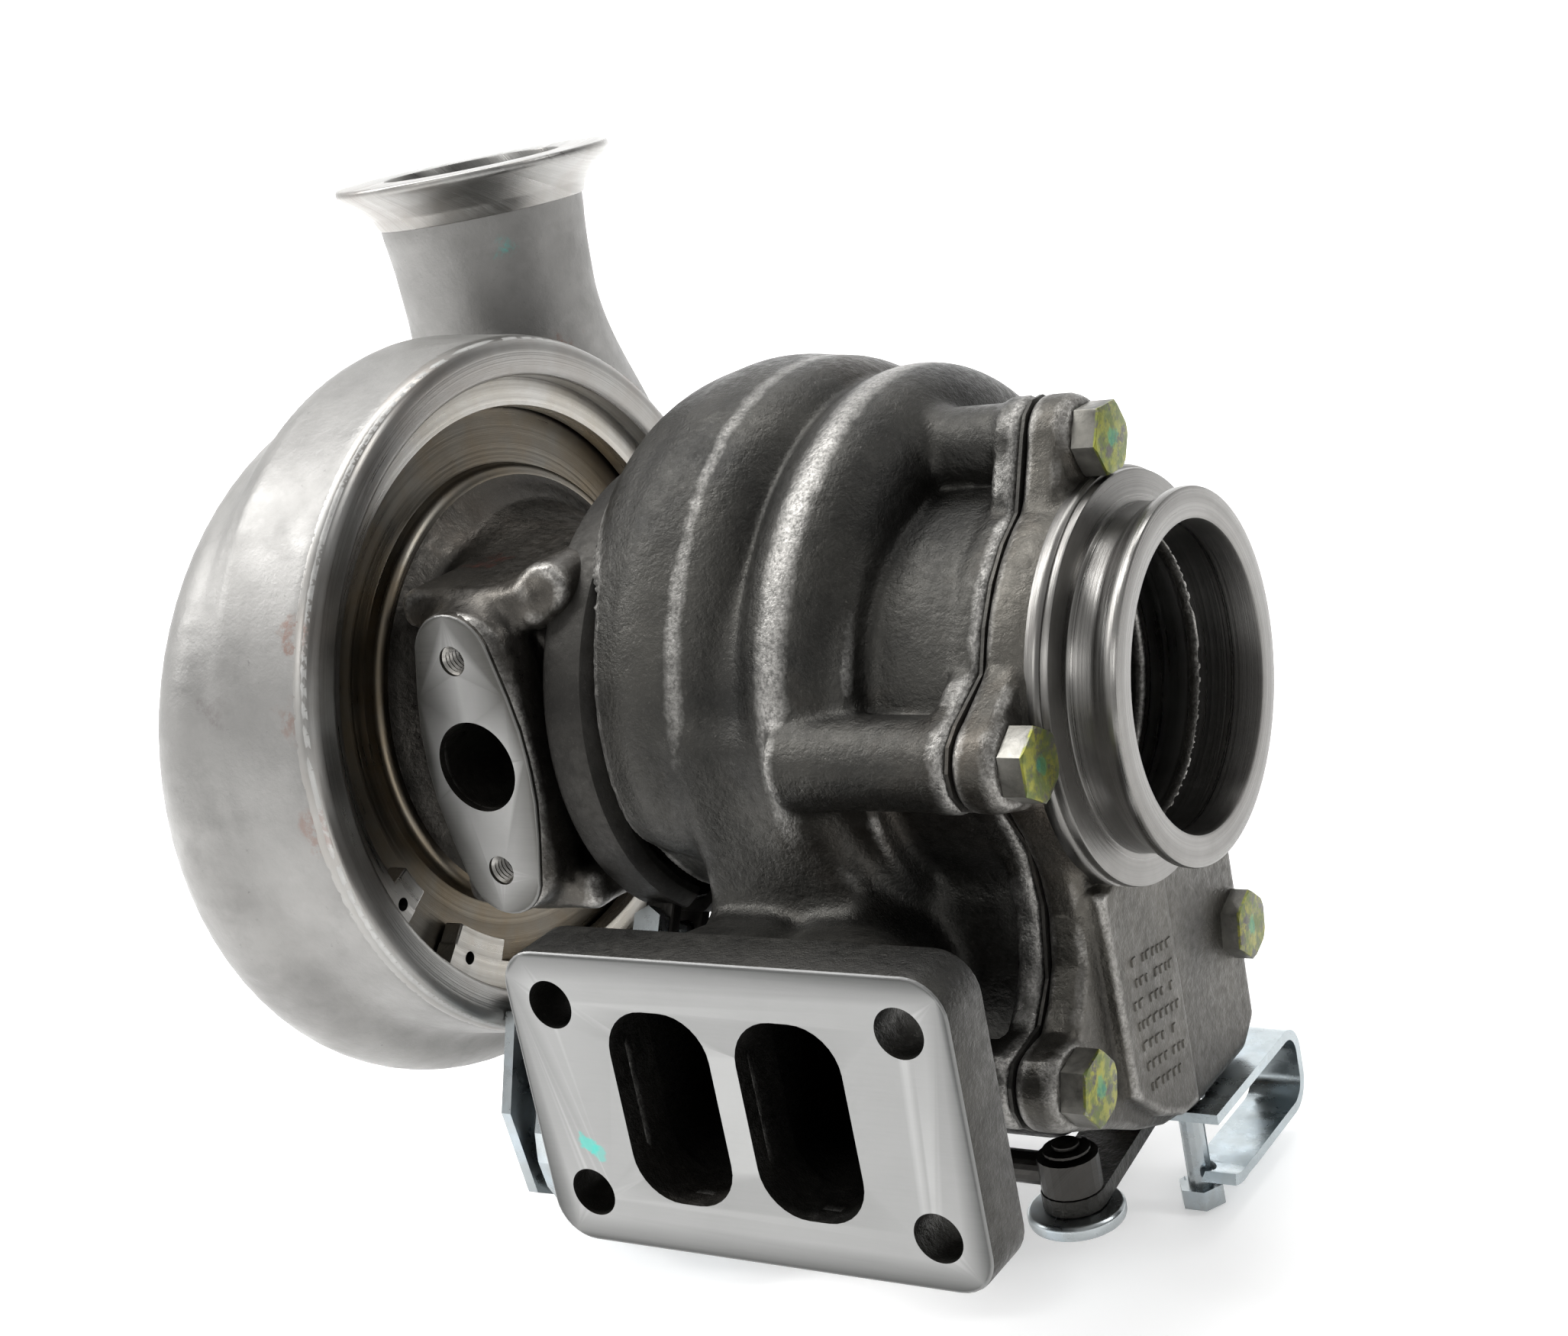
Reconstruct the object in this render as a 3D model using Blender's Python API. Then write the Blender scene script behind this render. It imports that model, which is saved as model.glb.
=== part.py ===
"""Turbocharger with a divided exhaust inlet flange, a bolted outlet cover and a wastegate.

The origin is the centre of the exhaust inlet flange's face. +X runs along the shaft from the
compressor to the exhaust outlet, the inlet flange faces -Y, and +Z is up.
All sizes below are in millimetres; MM turns them into metres.
"""
import math

import bmesh
import bpy
from mathutils import Matrix, Vector

MM = 0.001
GAP = 0.3  # room between two pieces that touch
RIM_SIDES = 28  # facets of the large rings that sit inside one another

# Shaft line
SHAFT_Y = 118.4
SHAFT_Z = 52.7

# Exhaust inlet flange (four studs on an 85 x 44 mm rectangle)
FLANGE_HALF_X = 54.0
FLANGE_HALF_Z = 34.0
FLANGE_THICKNESS = 14.0
FLANGE_CORNER = 10.0
STUD_HALF_X = 42.5
STUD_HALF_Z = 22.0
STUD_HOLE_R = 5.5
PORT_X = (-16.8, 14.9)
PORT_HALF_X = 12.5
PORT_HALF_Z = 22.0
PORT_WALL = 5.5
PASSAGE_SHARE = 0.56  # size of a scroll passage against its outer tube

# Turbine housing
SCROLL_X = (-46.0, -21.0)
SCROLL_START = -90.0  # degrees round the shaft, 0 towards -Y and 90 up
SCROLL_TURN = 300.0
SEAM_X = 30.0
BARREL_R = 46.5
TURBINE_R = 38.0
EXDUCER_R = 31.5

# Outlet cover
COVER_THICKNESS = 10.4
BOLT_CIRCLE_R = 55.3
BOLT_PAD_R = 10.5
COVER_BOLTS = (
    (SHAFT_Y, SHAFT_Z + BOLT_CIRCLE_R),
    (SHAFT_Y - BOLT_CIRCLE_R, SHAFT_Z),
    (65.0, -22.4),
    (152.0, -22.4),
)
COVER_BOLT_TURNS = (0.0, 30.0, 12.0, 20.0)  # how far each hexagon stands turned, in degrees
OUTLET_X = 59.7
OUTLET_LIP_R = 42.3
OUTLET_BORE_R = 34.9

# Bearing housing
CASE_FACE_X = -142.0
DRAIN_X = -100.0
DRAIN_FACE_Y = 57.0
DRAIN_HALF_SPACING = 26.5
DRAIN_R = 11.3
BEARING_BORE_R = 11.0
JOURNAL_R = 7.0
JOURNAL_SPANS = ((-127.0, -117.0), (-87.0, -77.0))
THRUST_SCREW_ANGLES = (90.0, 190.0, -10.0)
BAND_BOLT_ANGLE = -59.0
BAND_BOLT_R = 62.5
BAND_BOLT_X = -75.0

# Compressor housing
RIM_X = -123.2
RIM_R = 89.6
RECESS_R = 80.3
INLET_X = -214.0
INLET_R = 51.0
INLET_BORE_R = 45.0
DIFFUSER_X = -146.0  # back wall of the diffuser, and of the volute passage
DIFFUSER_WIDTH = 5.0
WHEEL_R = 43.0
INDUCER_R = 30.0
INDUCER_X = -178.0
VOLUTE_START = 95.0
VOLUTE_TURN = 295.0
VOLUTE_WALL = 5.0
OUTLET_TUBE_X = -166.0
OUTLET_TUBE_Y = SHAFT_Y + 64.0
OUTLET_TUBE_TOP = 183.5
OUTLET_TUBE_R = 28.5
OUTLET_TUBE_BORE = 24.5
OUTLET_TUBE_LIP_R = 38.5

# Wastegate
SPINDLE_X = 20.0
SPINDLE_Y = 130.0
SPINDLE_R = 4.0
VALVE_Y = 104.0
VALVE_Z = -8.0
VALVE_R = 12.0
SEAT_X = 12.0
PIN_X = 25.0
PIN_Y = 84.0
LEVER_TOP = -59.0
LEVER_THICKNESS = 4.0

# Actuator
ROD_Z = -55.0
CAN_X = (-117.0, -58.0)
CAN_R = 28.0
SUPPORT_BOLT = (36.0, 126.0)
SUPPORT_BOLT_R = 3.0


def clear_scene():
    for thing in list(bpy.data.objects):
        bpy.data.objects.remove(thing, do_unlink=True)


def material(name, colour, metallic, roughness):
    made = bpy.data.materials.get(name) or bpy.data.materials.new(name)
    made.use_nodes = True
    shader = made.node_tree.nodes["Principled BSDF"]
    shader.inputs["Base Color"].default_value = (*colour, 1.0)
    shader.inputs["Metallic"].default_value = metallic
    shader.inputs["Roughness"].default_value = roughness
    return made


def cast_iron():
    return material("cast_iron", (0.09, 0.09, 0.085), 0.6, 0.6)


def cast_aluminium():
    return material("cast_aluminium", (0.52, 0.53, 0.52), 0.8, 0.45)


def machined_steel():
    return material("machined_steel", (0.42, 0.42, 0.43), 1.0, 0.3)


def zinc_plate():
    return material("zinc_plate", (0.62, 0.65, 0.66), 1.0, 0.35)


def bronze():
    return material("bronze", (0.45, 0.30, 0.14), 1.0, 0.35)


def rubber():
    return material("rubber", (0.03, 0.03, 0.03), 0.0, 0.7)


def add_mesh(name, points, faces, finish, at=(0, 0, 0)):
    """One object from points in millimetres about `at`, its faces turned outward."""
    mesh = bpy.data.meshes.new(name)
    mesh.from_pydata([Vector(point) * MM for point in points], [], faces)
    work = bmesh.new()
    work.from_mesh(mesh)
    bmesh.ops.recalc_face_normals(work, faces=work.faces)
    work.to_mesh(mesh)
    work.free()
    thing = bpy.data.objects.new(name, mesh)
    thing.location = Vector(at) * MM
    bpy.context.scene.collection.objects.link(thing)
    if finish:
        mesh.materials.append(finish)
    mesh.shade_smooth()
    mesh.set_sharp_from_angle(angle=math.radians(35))
    return thing


def skin(rings, closed_loop=False):
    """Points and faces of a tube through rings of equal count, capped unless it closes on itself."""
    count = len(rings[0])
    points = [point for ring in rings for point in ring]
    faces = []
    last = len(rings) if closed_loop else len(rings) - 1
    for row in range(last):
        below = (row + 1) % len(rings)
        for i in range(count):
            j = (i + 1) % count
            faces.append((row * count + i, row * count + j, below * count + j, below * count + i))
    if not closed_loop:
        faces.append(tuple(range(count)))
        faces.append(tuple(range((len(rings) - 1) * count, len(rings) * count)))
    return points, faces


def frame_for(axis):
    """Two directions square to a row axis."""
    return {
        "X": (Vector((0, 1, 0)), Vector((0, 0, 1)), Vector((1, 0, 0))),
        "Y": (Vector((0, 0, 1)), Vector((1, 0, 0)), Vector((0, 1, 0))),
        "Z": (Vector((1, 0, 0)), Vector((0, 1, 0)), Vector((0, 0, 1))),
    }[axis]


def turned(name, profile, finish, axis="X", at=(0, SHAFT_Y, SHAFT_Z), sides=32, ring=False):
    """A turned piece. profile is (place along the axis, radius); a ring's profile is a closed loop."""
    across, over, along = frame_for(axis)
    rings = []
    for place, radius in profile:
        rings.append([
            along * place
            + across * (radius * math.cos(math.tau * i / sides))
            + over * (radius * math.sin(math.tau * i / sides))
            for i in range(sides)
        ])
    points, faces = skin(rings, closed_loop=ring)
    return add_mesh(name, points, faces, finish, at)


def bar(name, start, end, radius, finish=None, axis="X", at=(0, 0, 0), sides=24):
    return turned(name, [(start, radius), (end, radius)], finish, axis, at, sides)


def prism(name, outline, start, end, finish=None, axis="X", at=(0, 0, 0)):
    """An outline extruded from start to end along an axis. Outline pairs follow the other two axes."""
    order = {"X": lambda u, v, w: (w, u, v), "Y": lambda u, v, w: (u, w, v), "Z": lambda u, v, w: (u, v, w)}
    place = order[axis]
    rings = [[Vector(place(u, v, w)) for u, v in outline] for w in (start, end)]
    points, faces = skin(rings)
    return add_mesh(name, points, faces, finish, at)


def box(name, low, high, finish=None):
    outline = [(low[0], low[1]), (high[0], low[1]), (high[0], high[1]), (low[0], high[1])]
    return prism(name, outline, low[2], high[2], finish, "Z")


def arc(centre, radius, start, end, steps):
    """Points of an arc, in degrees."""
    made = []
    for i in range(steps + 1):
        angle = math.radians(start + (end - start) * i / steps)
        made.append((centre[0] + radius * math.cos(angle), centre[1] + radius * math.sin(angle)))
    return made


def rounded_rectangle(centre, half, radius, steps=4):
    made = []
    corners = ((1, 1, 0), (-1, 1, 90), (-1, -1, 180), (1, -1, 270))
    for side_u, side_v, start in corners:
        corner = (centre[0] + side_u * (half[0] - radius), centre[1] + side_v * (half[1] - radius))
        made += arc(corner, radius, start, start + 90, steps)
    return made


def capsule(start, end, radius, steps=8):
    """Outline of a bar with round ends between two centres."""
    turn = math.degrees(math.atan2(end[1] - start[1], end[0] - start[0]))
    return arc(end, radius, turn - 90, turn + 90, steps) + arc(start, radius, turn + 90, turn + 270, steps)


def hexagon(centre, across_flats, turn=0.0):
    radius = across_flats / math.sqrt(3)
    return arc(centre, radius, turn, turn + 300, 5)


def combine(target, others, operation):
    """Runs one Boolean with each of the others, keeps the result as the target's mesh and drops the tools."""
    for other in others:
        change = target.modifiers.new("Boolean", "BOOLEAN")
        change.operation = operation
        change.solver = "EXACT"
        change.object = other
    bpy.context.view_layer.update()
    graph = bpy.context.evaluated_depsgraph_get()
    result = bpy.data.meshes.new_from_object(target.evaluated_get(graph))
    target.modifiers.clear()
    target.data = result
    result.shade_smooth()
    result.set_sharp_from_angle(angle=math.radians(35))
    for other in others:
        bpy.data.objects.remove(other, do_unlink=True)
    return target


def join_shapes(target, others):
    return combine(target, others, "UNION")


def cut_shapes(target, others):
    return combine(target, others, "DIFFERENCE")


def on_circle(radius, degrees, x=0.0):
    """A point round the shaft: 0 degrees is towards -Y and 90 is up."""
    angle = math.radians(degrees)
    return Vector((x, SHAFT_Y - radius * math.cos(angle), SHAFT_Z + radius * math.sin(angle)))


def sweep(centres, directions, radii, sides, flatten=None):
    """Rings of a round tube along centres, each square to its direction and one side facing +X."""
    rings = []
    for index, (centre, direction, radius) in enumerate(zip(centres, directions, radii)):
        over = Vector((1, 0, 0))
        over = (over - direction * over.dot(direction)).normalized()
        across = direction.cross(over).normalized()
        ring = []
        for i in range(sides):
            angle = math.tau * i / sides
            ring.append(centre + over * (radius * math.cos(angle)) + across * (radius * math.sin(angle)))
        rings.append(ring)
    return rings


# ---------------------------------------------------------------- compressor end


def volute_path(steps):
    """Centres, directions and passage radii of the compressor scroll and its outlet tube."""
    centres, radii = [], []
    for i in range(steps + 1):
        share = i / steps
        radius = 6.0 + 19.0 * math.sqrt(share)
        round_shaft = 70.0 + 23.0 * share**1.5
        place = on_circle(round_shaft, VOLUTE_START - VOLUTE_TURN * share, DIFFUSER_X - radius)
        centres.append(place)
        radii.append(radius)
    top_of_bend = Vector((OUTLET_TUBE_X, OUTLET_TUBE_Y, SHAFT_Z + 92.0))
    start = centres[-1]
    lead = (centres[-1] - centres[-2]).normalized() * 24.0
    lift = Vector((0, 0, -24.0))
    for i in range(1, 5):
        share = i / 4
        point = (
            start * (1 - share) ** 3
            + (start + lead) * 3 * share * (1 - share) ** 2
            + (top_of_bend + lift) * 3 * share**2 * (1 - share)
            + top_of_bend * share**3
        )
        centres.append(point)
        radii.append(25.0 + (OUTLET_TUBE_BORE - 25.0) * share)
    centres.append(Vector((OUTLET_TUBE_X, OUTLET_TUBE_Y, OUTLET_TUBE_TOP - 12.0)))
    radii.append(OUTLET_TUBE_BORE)
    directions = []
    for i in range(len(centres)):
        before = centres[max(i - 1, 0)]
        after = centres[min(i + 1, len(centres) - 1)]
        directions.append((after - before).normalized())
    directions[-1] = Vector((0, 0, 1))
    directions[-2] = Vector((0, 0, 1))
    return centres, directions, radii


def wheel_edge(clearance, steps):
    """The compressor wheel's outer edge from inducer to rim as (x, radius), grown by a clearance."""
    front = DIFFUSER_X - DIFFUSER_WIDTH
    made = []
    for i in range(steps + 1):
        angle = math.radians(90 * i / steps)
        place = INDUCER_X + (front - INDUCER_X) * math.sin(angle) - clearance * math.sin(angle)
        radius = INDUCER_R + (WHEEL_R - INDUCER_R) * (1 - math.cos(angle)) + clearance * math.cos(angle)
        made.append((place, radius))
    return made


def compressor_housing():
    centres, directions, radii = volute_path(16)
    outer = [radius + VOLUTE_WALL for radius in radii]
    shell = add_mesh("compressor_housing", *skin(sweep(centres, directions, outer, 12)), cast_aluminium())
    body = turned("body", [
        (RIM_X, RIM_R - 2.0), (RIM_X - 2.0, RIM_R), (RIM_X - 4.0, RIM_R + 1.5), (-152.0, RIM_R + 3.4),
        (-160.0, 88.0), (-170.0, 74.0), (-184.0, 58.0), (-194.0, 50.0), (-203.0, 48.5),
        (-207.0, INLET_R), (INLET_X, INLET_R),
    ], None, sides=RIM_SIDES)
    lip = turned("lip", [
        (OUTLET_TUBE_TOP - 20.0, OUTLET_TUBE_R - 1.0), (OUTLET_TUBE_TOP - 10.0, OUTLET_TUBE_R + 1.0),
        (OUTLET_TUBE_TOP - 3.5, OUTLET_TUBE_LIP_R - 0.8), (OUTLET_TUBE_TOP - 2.6, OUTLET_TUBE_LIP_R),
        (OUTLET_TUBE_TOP, OUTLET_TUBE_LIP_R),
    ], None, "Z", (OUTLET_TUBE_X, OUTLET_TUBE_Y, 0), 28)
    join_shapes(shell, [body, lip])
    passage = add_mesh("passage", *skin(sweep(centres, directions, radii, 12)), None)
    mouth = bar("mouth", OUTLET_TUBE_TOP - 20.0, OUTLET_TUBE_TOP + 1.0, OUTLET_TUBE_BORE, None, "Z",
                (OUTLET_TUBE_X, OUTLET_TUBE_Y, 0), 26)
    front = DIFFUSER_X - DIFFUSER_WIDTH
    seat = CASE_FACE_X - GAP
    wheel_room = [(INLET_X - 1.0, INLET_BORE_R), (INLET_X + 4.0, INLET_BORE_R - 2.0), (-190.0, 36.0)]
    wheel_room += wheel_edge(0.3, 4)
    wheel_room += [(front, 66.0), (DIFFUSER_X, 66.0), (DIFFUSER_X, 76.2), (seat, 76.2),
                   (seat, RECESS_R - 0.6), (-136.0 + GAP, RECESS_R - 0.6), (-136.0 + GAP, 83.5),
                   (-129.5, 83.5), (-129.5, RECESS_R), (RIM_X + 1.0, RECESS_R)]
    room = turned("room", wheel_room, None, sides=RIM_SIDES)
    threads = [bar("thread", RIM_X - 5.0, RIM_X + 1.0, 2.8, None, "X", (0, place.y, place.z), 12)
               for place in bracket_bolt_places()]
    return cut_shapes(shell, [passage, mouth, room] + threads)


def compressor_backplate():
    """Disc behind the compressor wheel, with a seal groove round its edge."""
    front, back, groove = DIFFUSER_X + GAP, CASE_FACE_X - GAP, 73.4
    return turned("compressor_backplate", [
        (front, 9.4), (front, 75.9), (front + 0.7, 75.9), (front + 0.7, groove), (back - 0.7, groove),
        (back - 0.7, 75.9), (back, 75.9), (back, 9.4),
    ], cast_aluminium(), sides=RIM_SIDES, ring=True)


def backplate_o_ring():
    centre_x, centre_r, thick = -144.0, 74.75, 0.75
    profile = [(centre_x + u, centre_r + v) for u, v in arc((0, 0), thick, 0, 300, 5)]
    return turned("backplate_o_ring", profile, rubber(), sides=RIM_SIDES, ring=True)


def retaining_ring():
    """The wide internal snap ring that holds the bearing housing in the compressor housing."""
    ring = turned("housing_retaining_ring", [
        (-135.4, 73.0), (-129.8, 73.0), (-129.8, 83.1), (-135.4, 83.1),
    ], machined_steel(), sides=RIM_SIDES, ring=True)
    gap_at = on_circle(78.0, -33.0)
    slot = box("slot", (-137.0, gap_at.y - 6.0, gap_at.z - 6.0), (-128.0, gap_at.y + 6.0, gap_at.z + 6.0))
    holes = []
    for degrees in (-24.0, -42.0):
        place = on_circle(78.0, degrees)
        holes.append(bar("hole", -137.0, -128.0, 1.6, None, "X", (0, place.y, place.z), 10))
    return cut_shapes(ring, [slot] + holes)


def wheel_blades(name, count, hub, tip, lean, thickness, finish):
    """Blades of a radial wheel. hub and tip are (x, radius) lists of equal length; lean is degrees per point."""
    points, faces = [], []
    for blade in range(count):
        turn = math.tau * blade / count
        for (hub_x, hub_r), (tip_x, tip_r), wrap in zip(hub, tip, lean):
            for x, radius in ((hub_x, hub_r), (tip_x, tip_r)):
                half = thickness / (2 * radius)
                for side in (-1, 1):
                    angle = turn + math.radians(wrap) + side * half
                    points.append((x, radius * math.cos(angle), radius * math.sin(angle)))
        start = blade * 4 * len(hub)
        for row in range(len(hub) - 1):
            a = start + 4 * row
            b = a + 4
            faces += [(a, a + 1, b + 1, b), (a + 2, b + 2, b + 3, a + 3)]
            # Both flanks of a twisted blade are split along the same diagonal, so its thickness holds.
            faces += [(a, b, b + 2), (a, b + 2, a + 2), (a + 1, b + 3, b + 1), (a + 1, a + 3, b + 3)]
        end = start + 4 * (len(hub) - 1)
        faces += [(start, start + 2, start + 3, start + 1), (end, end + 1, end + 3, end + 2)]
    return add_mesh(name, points, faces, finish, (0, SHAFT_Y, SHAFT_Z))


def compressor_wheel():
    back = DIFFUSER_X + GAP - 0.6
    hub = [(back, 5.3), (back, WHEEL_R - 0.4), (back - 1.2, WHEEL_R - 0.4), (-150.0, 30.0), (-156.0, 20.0),
           (-165.0, 13.0), (-178.7, 10.0), (-178.7, 5.3)]
    wheel = turned("compressor_wheel", hub, cast_aluminium(), sides=18, ring=True)
    tips = wheel_edge(-0.4, 4)
    roots = [(-178.0, 8.5), (-164.0, 12.0), (-155.5, 19.0), (-149.5, 29.0), (-147.2, WHEEL_R - 0.6)]
    blades = wheel_blades("blades", 12, roots, tips, (0, 18, 31, 42, 50), 1.2, None)
    return join_shapes(wheel, [blades])


def shaft_nut():
    nut = prism("shaft_nut", hexagon((0, 0), 14.0), -185.0, -179.0, machined_steel(), "X", (0, SHAFT_Y, SHAFT_Z))
    return cut_shapes(nut, [bar("bore", -186.0, -178.0, 5.3, None, "X", (0, SHAFT_Y, SHAFT_Z), 16)])


# ---------------------------------------------------------------- rotor and bearings


def turbine_wheel_and_shaft():
    profile = [
        (-187.0, 5.0), (-131.0, 5.0), (-131.0, JOURNAL_R - GAP), (-76.0, JOURNAL_R - GAP),
        (-76.0, 10.2), (-73.4, 10.2), (-73.4, 9.0), (-71.4, 9.0), (-71.4, 10.2), (-66.0, 10.2),
        (-60.0, 12.0), (-47.0, 35.0), (-45.4, 35.0), (-43.0, 28.0), (-34.0, 17.0), (-18.0, 11.0), (-4.0, 9.5),
        (4.0, 7.5),
    ]
    rotor = turned("turbine_wheel_and_shaft", profile, machined_steel(), sides=16)
    roots = [(-45.6, 34.0), (-34.0, 16.5), (-18.0, 10.5), (-2.0, 9.0)]
    tips = [(-45.6, TURBINE_R), (-24.0, TURBINE_R - 0.6), (-14.0, EXDUCER_R - 0.6), (-2.0, EXDUCER_R - 0.8)]
    blades = wheel_blades("blades", 11, roots, tips, (0, 4, 16, 34), 1.5, None)
    return join_shapes(rotor, [blades])


def oil_slinger():
    return turned("oil_slinger", [
        (-146.0, 5.3), (-146.0, 9.0), (-143.4, 9.0), (-143.4, 8.2), (-142.4, 8.2), (-142.4, 9.0), (-139.5, 9.0),
        (-138.5, 12.0), (-137.3, 12.0), (-137.3, 5.3),
    ], machined_steel(), sides=20, ring=True)


def thrust_collar():
    return turned("thrust_collar", [
        (-137.0, 5.3), (-137.0, 12.0), (-135.2, 12.0), (-135.2, 8.6), (-131.4, 8.6), (-131.4, 12.0), (-129.8, 12.0),
        (-129.8, 7.1), (-131.4, 7.1), (-131.4, 5.3),
    ], machined_steel(), sides=20, ring=True)


def thrust_bearing():
    plate = turned("thrust_bearing", [
        (-134.9, 9.0), (-134.9, 22.0), (-131.7, 22.0), (-131.7, 9.0),
    ], bronze(), sides=26, ring=True)
    throat = box("throat", (-136.0, SHAFT_Y - 8.4, SHAFT_Z - 30.0), (-130.0, SHAFT_Y + 8.4, SHAFT_Z - 1.0))
    holes = []
    for degrees in THRUST_SCREW_ANGLES:
        place = on_circle(17.5, degrees)
        holes.append(bar("hole", -136.0, -130.0, 1.9, None, "X", (0, place.y, place.z), 12))
    return cut_shapes(plate, [throat] + holes)


def thrust_bearing_screw(number, degrees):
    place = on_circle(17.5, degrees)
    profile = [(-137.9, 3.2), (-135.2, 3.2), (-135.2, 1.6), (-126.0, 1.6)]
    return turned(f"thrust_bearing_screw_{number}", profile, machined_steel(), "X", (0, place.y, place.z), 12)


def oil_baffle():
    return turned("oil_baffle", [
        (-141.6, 12.6), (-140.2, 12.6), (-140.2, 25.7), (-141.6, 25.7),
    ], machined_steel(), sides=20, ring=True)


def journal_bearing(name, span):
    sleeve = turned(name, [
        (span[0], JOURNAL_R), (span[1], JOURNAL_R), (span[1], BEARING_BORE_R - GAP), (span[0], BEARING_BORE_R - GAP),
    ], bronze(), sides=16, ring=True)
    middle = (span[0] + span[1]) / 2
    across = bar("across", -14.0, 14.0, 1.2, None, "Z", (middle, SHAFT_Y, SHAFT_Z), 10)
    return cut_shapes(sleeve, [across])


def bearing_circlip(name, x):
    ring = turned(name, [
        (x, 9.3), (x + 1.0, 9.3), (x + 1.0, 11.8), (x, 11.8),
    ], machined_steel(), sides=16, ring=True)
    return cut_shapes(ring, [box("mouth", (x - 1.0, SHAFT_Y - 2.0, SHAFT_Z + 5.0),
                                 (x + 2.0, SHAFT_Y + 2.0, SHAFT_Z + 14.0))])


def circlip_places():
    return (
        ("compressor_bearing_outer_circlip", JOURNAL_SPANS[0][0] - 1.3),
        ("compressor_bearing_inner_circlip", JOURNAL_SPANS[0][1] + 0.3),
        ("turbine_bearing_inner_circlip", JOURNAL_SPANS[1][0] - 1.3),
    )


def piston_ring(name, x, inner, outer, width):
    ring = turned(name, [(x, inner), (x + width, inner), (x + width, outer), (x, outer)],
                  machined_steel(), sides=18, ring=True)
    return cut_shapes(ring, [box("mouth", (x - 1.0, SHAFT_Y - 0.4, SHAFT_Z - 14.0),
                                 (x + width + 1.0, SHAFT_Y + 0.4, SHAFT_Z - 5.0))])


def bearing_housing():
    case = turned("bearing_housing", [
        (CASE_FACE_X, 79.2), (-136.0, 79.2), (-136.0, 57.6), (-132.0, 57.6), (-131.0, 56.4),
        (-127.0, 52.0), (-114.0, 44.0), (-106.0, 41.0), (-90.0, 40.0), (-85.0, 43.0), (-81.0, 50.0),
        (-79.0, 54.0), (-75.0, 54.0), (-75.0, 45.0), (-69.0, 45.0),
    ], cast_iron(), sides=RIM_SIDES)
    outline = drain_outline()
    pad = prism("pad", outline, DRAIN_FACE_Y, DRAIN_FACE_Y + 10.0, None, "Y")
    neck = add_mesh("neck", *skin([
        [Vector((x, DRAIN_FACE_Y + 6.0, z)) for x, z in rounded_rectangle((DRAIN_X, SHAFT_Z), (14.5, 24.0), 9.0)],
        [Vector((x, SHAFT_Y, z)) for x, z in rounded_rectangle((DRAIN_X, SHAFT_Z), (20.0, 34.0), 9.0)],
    ]), None)
    boss = prism("boss", rounded_rectangle((DRAIN_X, SHAFT_Z), (13.0, 19.0), 7.0), SHAFT_Y + 20.0, SHAFT_Y + 54.0,
                 None, "Y")
    join_shapes(case, [pad, neck, boss])
    bore = [(CASE_FACE_X - 1.0, 26.5), (-139.9, 26.5), (-139.9, 23.0), (-129.2, 23.0), (-129.2, BEARING_BORE_R)]
    for name, x in circlip_places():
        bore += [(x - 0.3, BEARING_BORE_R), (x - 0.3, 12.2), (x + 1.3, 12.2), (x + 1.3, BEARING_BORE_R)]
    bore.append((-68.0, BEARING_BORE_R))
    tools = [
        turned("bore", bore, None, sides=16),
        bar("drain", DRAIN_FACE_Y - 1.0, SHAFT_Y, DRAIN_R, None, "Y", (DRAIN_X, 0, SHAFT_Z), 20),
        bar("feed", SHAFT_Y, SHAFT_Y + 55.0, 4.5, None, "Y", (DRAIN_X, 0, SHAFT_Z), 14),
    ]
    for side in (-1, 1):
        tools.append(bar("drain_stud", DRAIN_FACE_Y - 1.0, DRAIN_FACE_Y + 16.0, 3.6, None, "Y",
                         (DRAIN_X, 0, SHAFT_Z + side * DRAIN_HALF_SPACING), 12))
        tools.append(bar("feed_stud", SHAFT_Y + 42.0, SHAFT_Y + 55.0, 2.8, None, "Y",
                         (DRAIN_X, 0, SHAFT_Z + side * 13.0), 12))
    for degrees in THRUST_SCREW_ANGLES:
        place = on_circle(17.5, degrees)
        tools.append(bar("screw", -130.0, -125.0, 1.9, None, "X", (0, place.y, place.z), 12))
    return cut_shapes(case, tools)


def drain_outline():
    """A two-stud flange: round ends joined by sides that bulge round the drain."""
    ends = []
    for side, start in ((1, 10.0), (-1, 190.0)):
        ends += arc((DRAIN_X, SHAFT_Z + side * DRAIN_HALF_SPACING), 11.5, start, start + 160.0, 6)
        ends.append((DRAIN_X - side * 15.8, SHAFT_Z + side * 3.0))
        ends.append((DRAIN_X - side * 15.8, SHAFT_Z - side * 3.0))
    return ends


def oil_inlet_gasket():
    face = SHAFT_Y + 54.0 + GAP
    sheet = prism("oil_inlet_gasket", rounded_rectangle((DRAIN_X, SHAFT_Z), (12.0, 18.0), 6.0), face, face + 1.0,
                  machined_steel(), "Y")
    tools = [bar("hole", face - 1.0, face + 2.0, 5.0, None, "Y", (DRAIN_X, 0, SHAFT_Z), 16)]
    for side in (-1, 1):
        tools.append(bar("hole", face - 1.0, face + 2.0, 3.0, None, "Y", (DRAIN_X, 0, SHAFT_Z + side * 13.0), 12))
    return cut_shapes(sheet, tools)


def heat_shield():
    return turned("heat_shield", [
        (-68.4, 12.6), (-68.4, 44.0), (-66.6, 46.6), (-64.4, 46.6), (-64.4, 45.4), (-66.0, 43.0), (-66.9, 42.4),
        (-66.9, 30.0), (-62.0, 24.0), (-62.0, 13.8), (-63.4, 12.6),
    ], machined_steel(), sides=20, ring=True)


# ---------------------------------------------------------------- turbine end


def scroll_state(share):
    """Radius round the shaft and outer tube radius at a share of the turbine scroll's turn."""
    tube = 20.5 - 8.5 * share
    outer = 79.0 - 2.0 * share - 22.0 * share**4
    return outer - tube, tube


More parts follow.
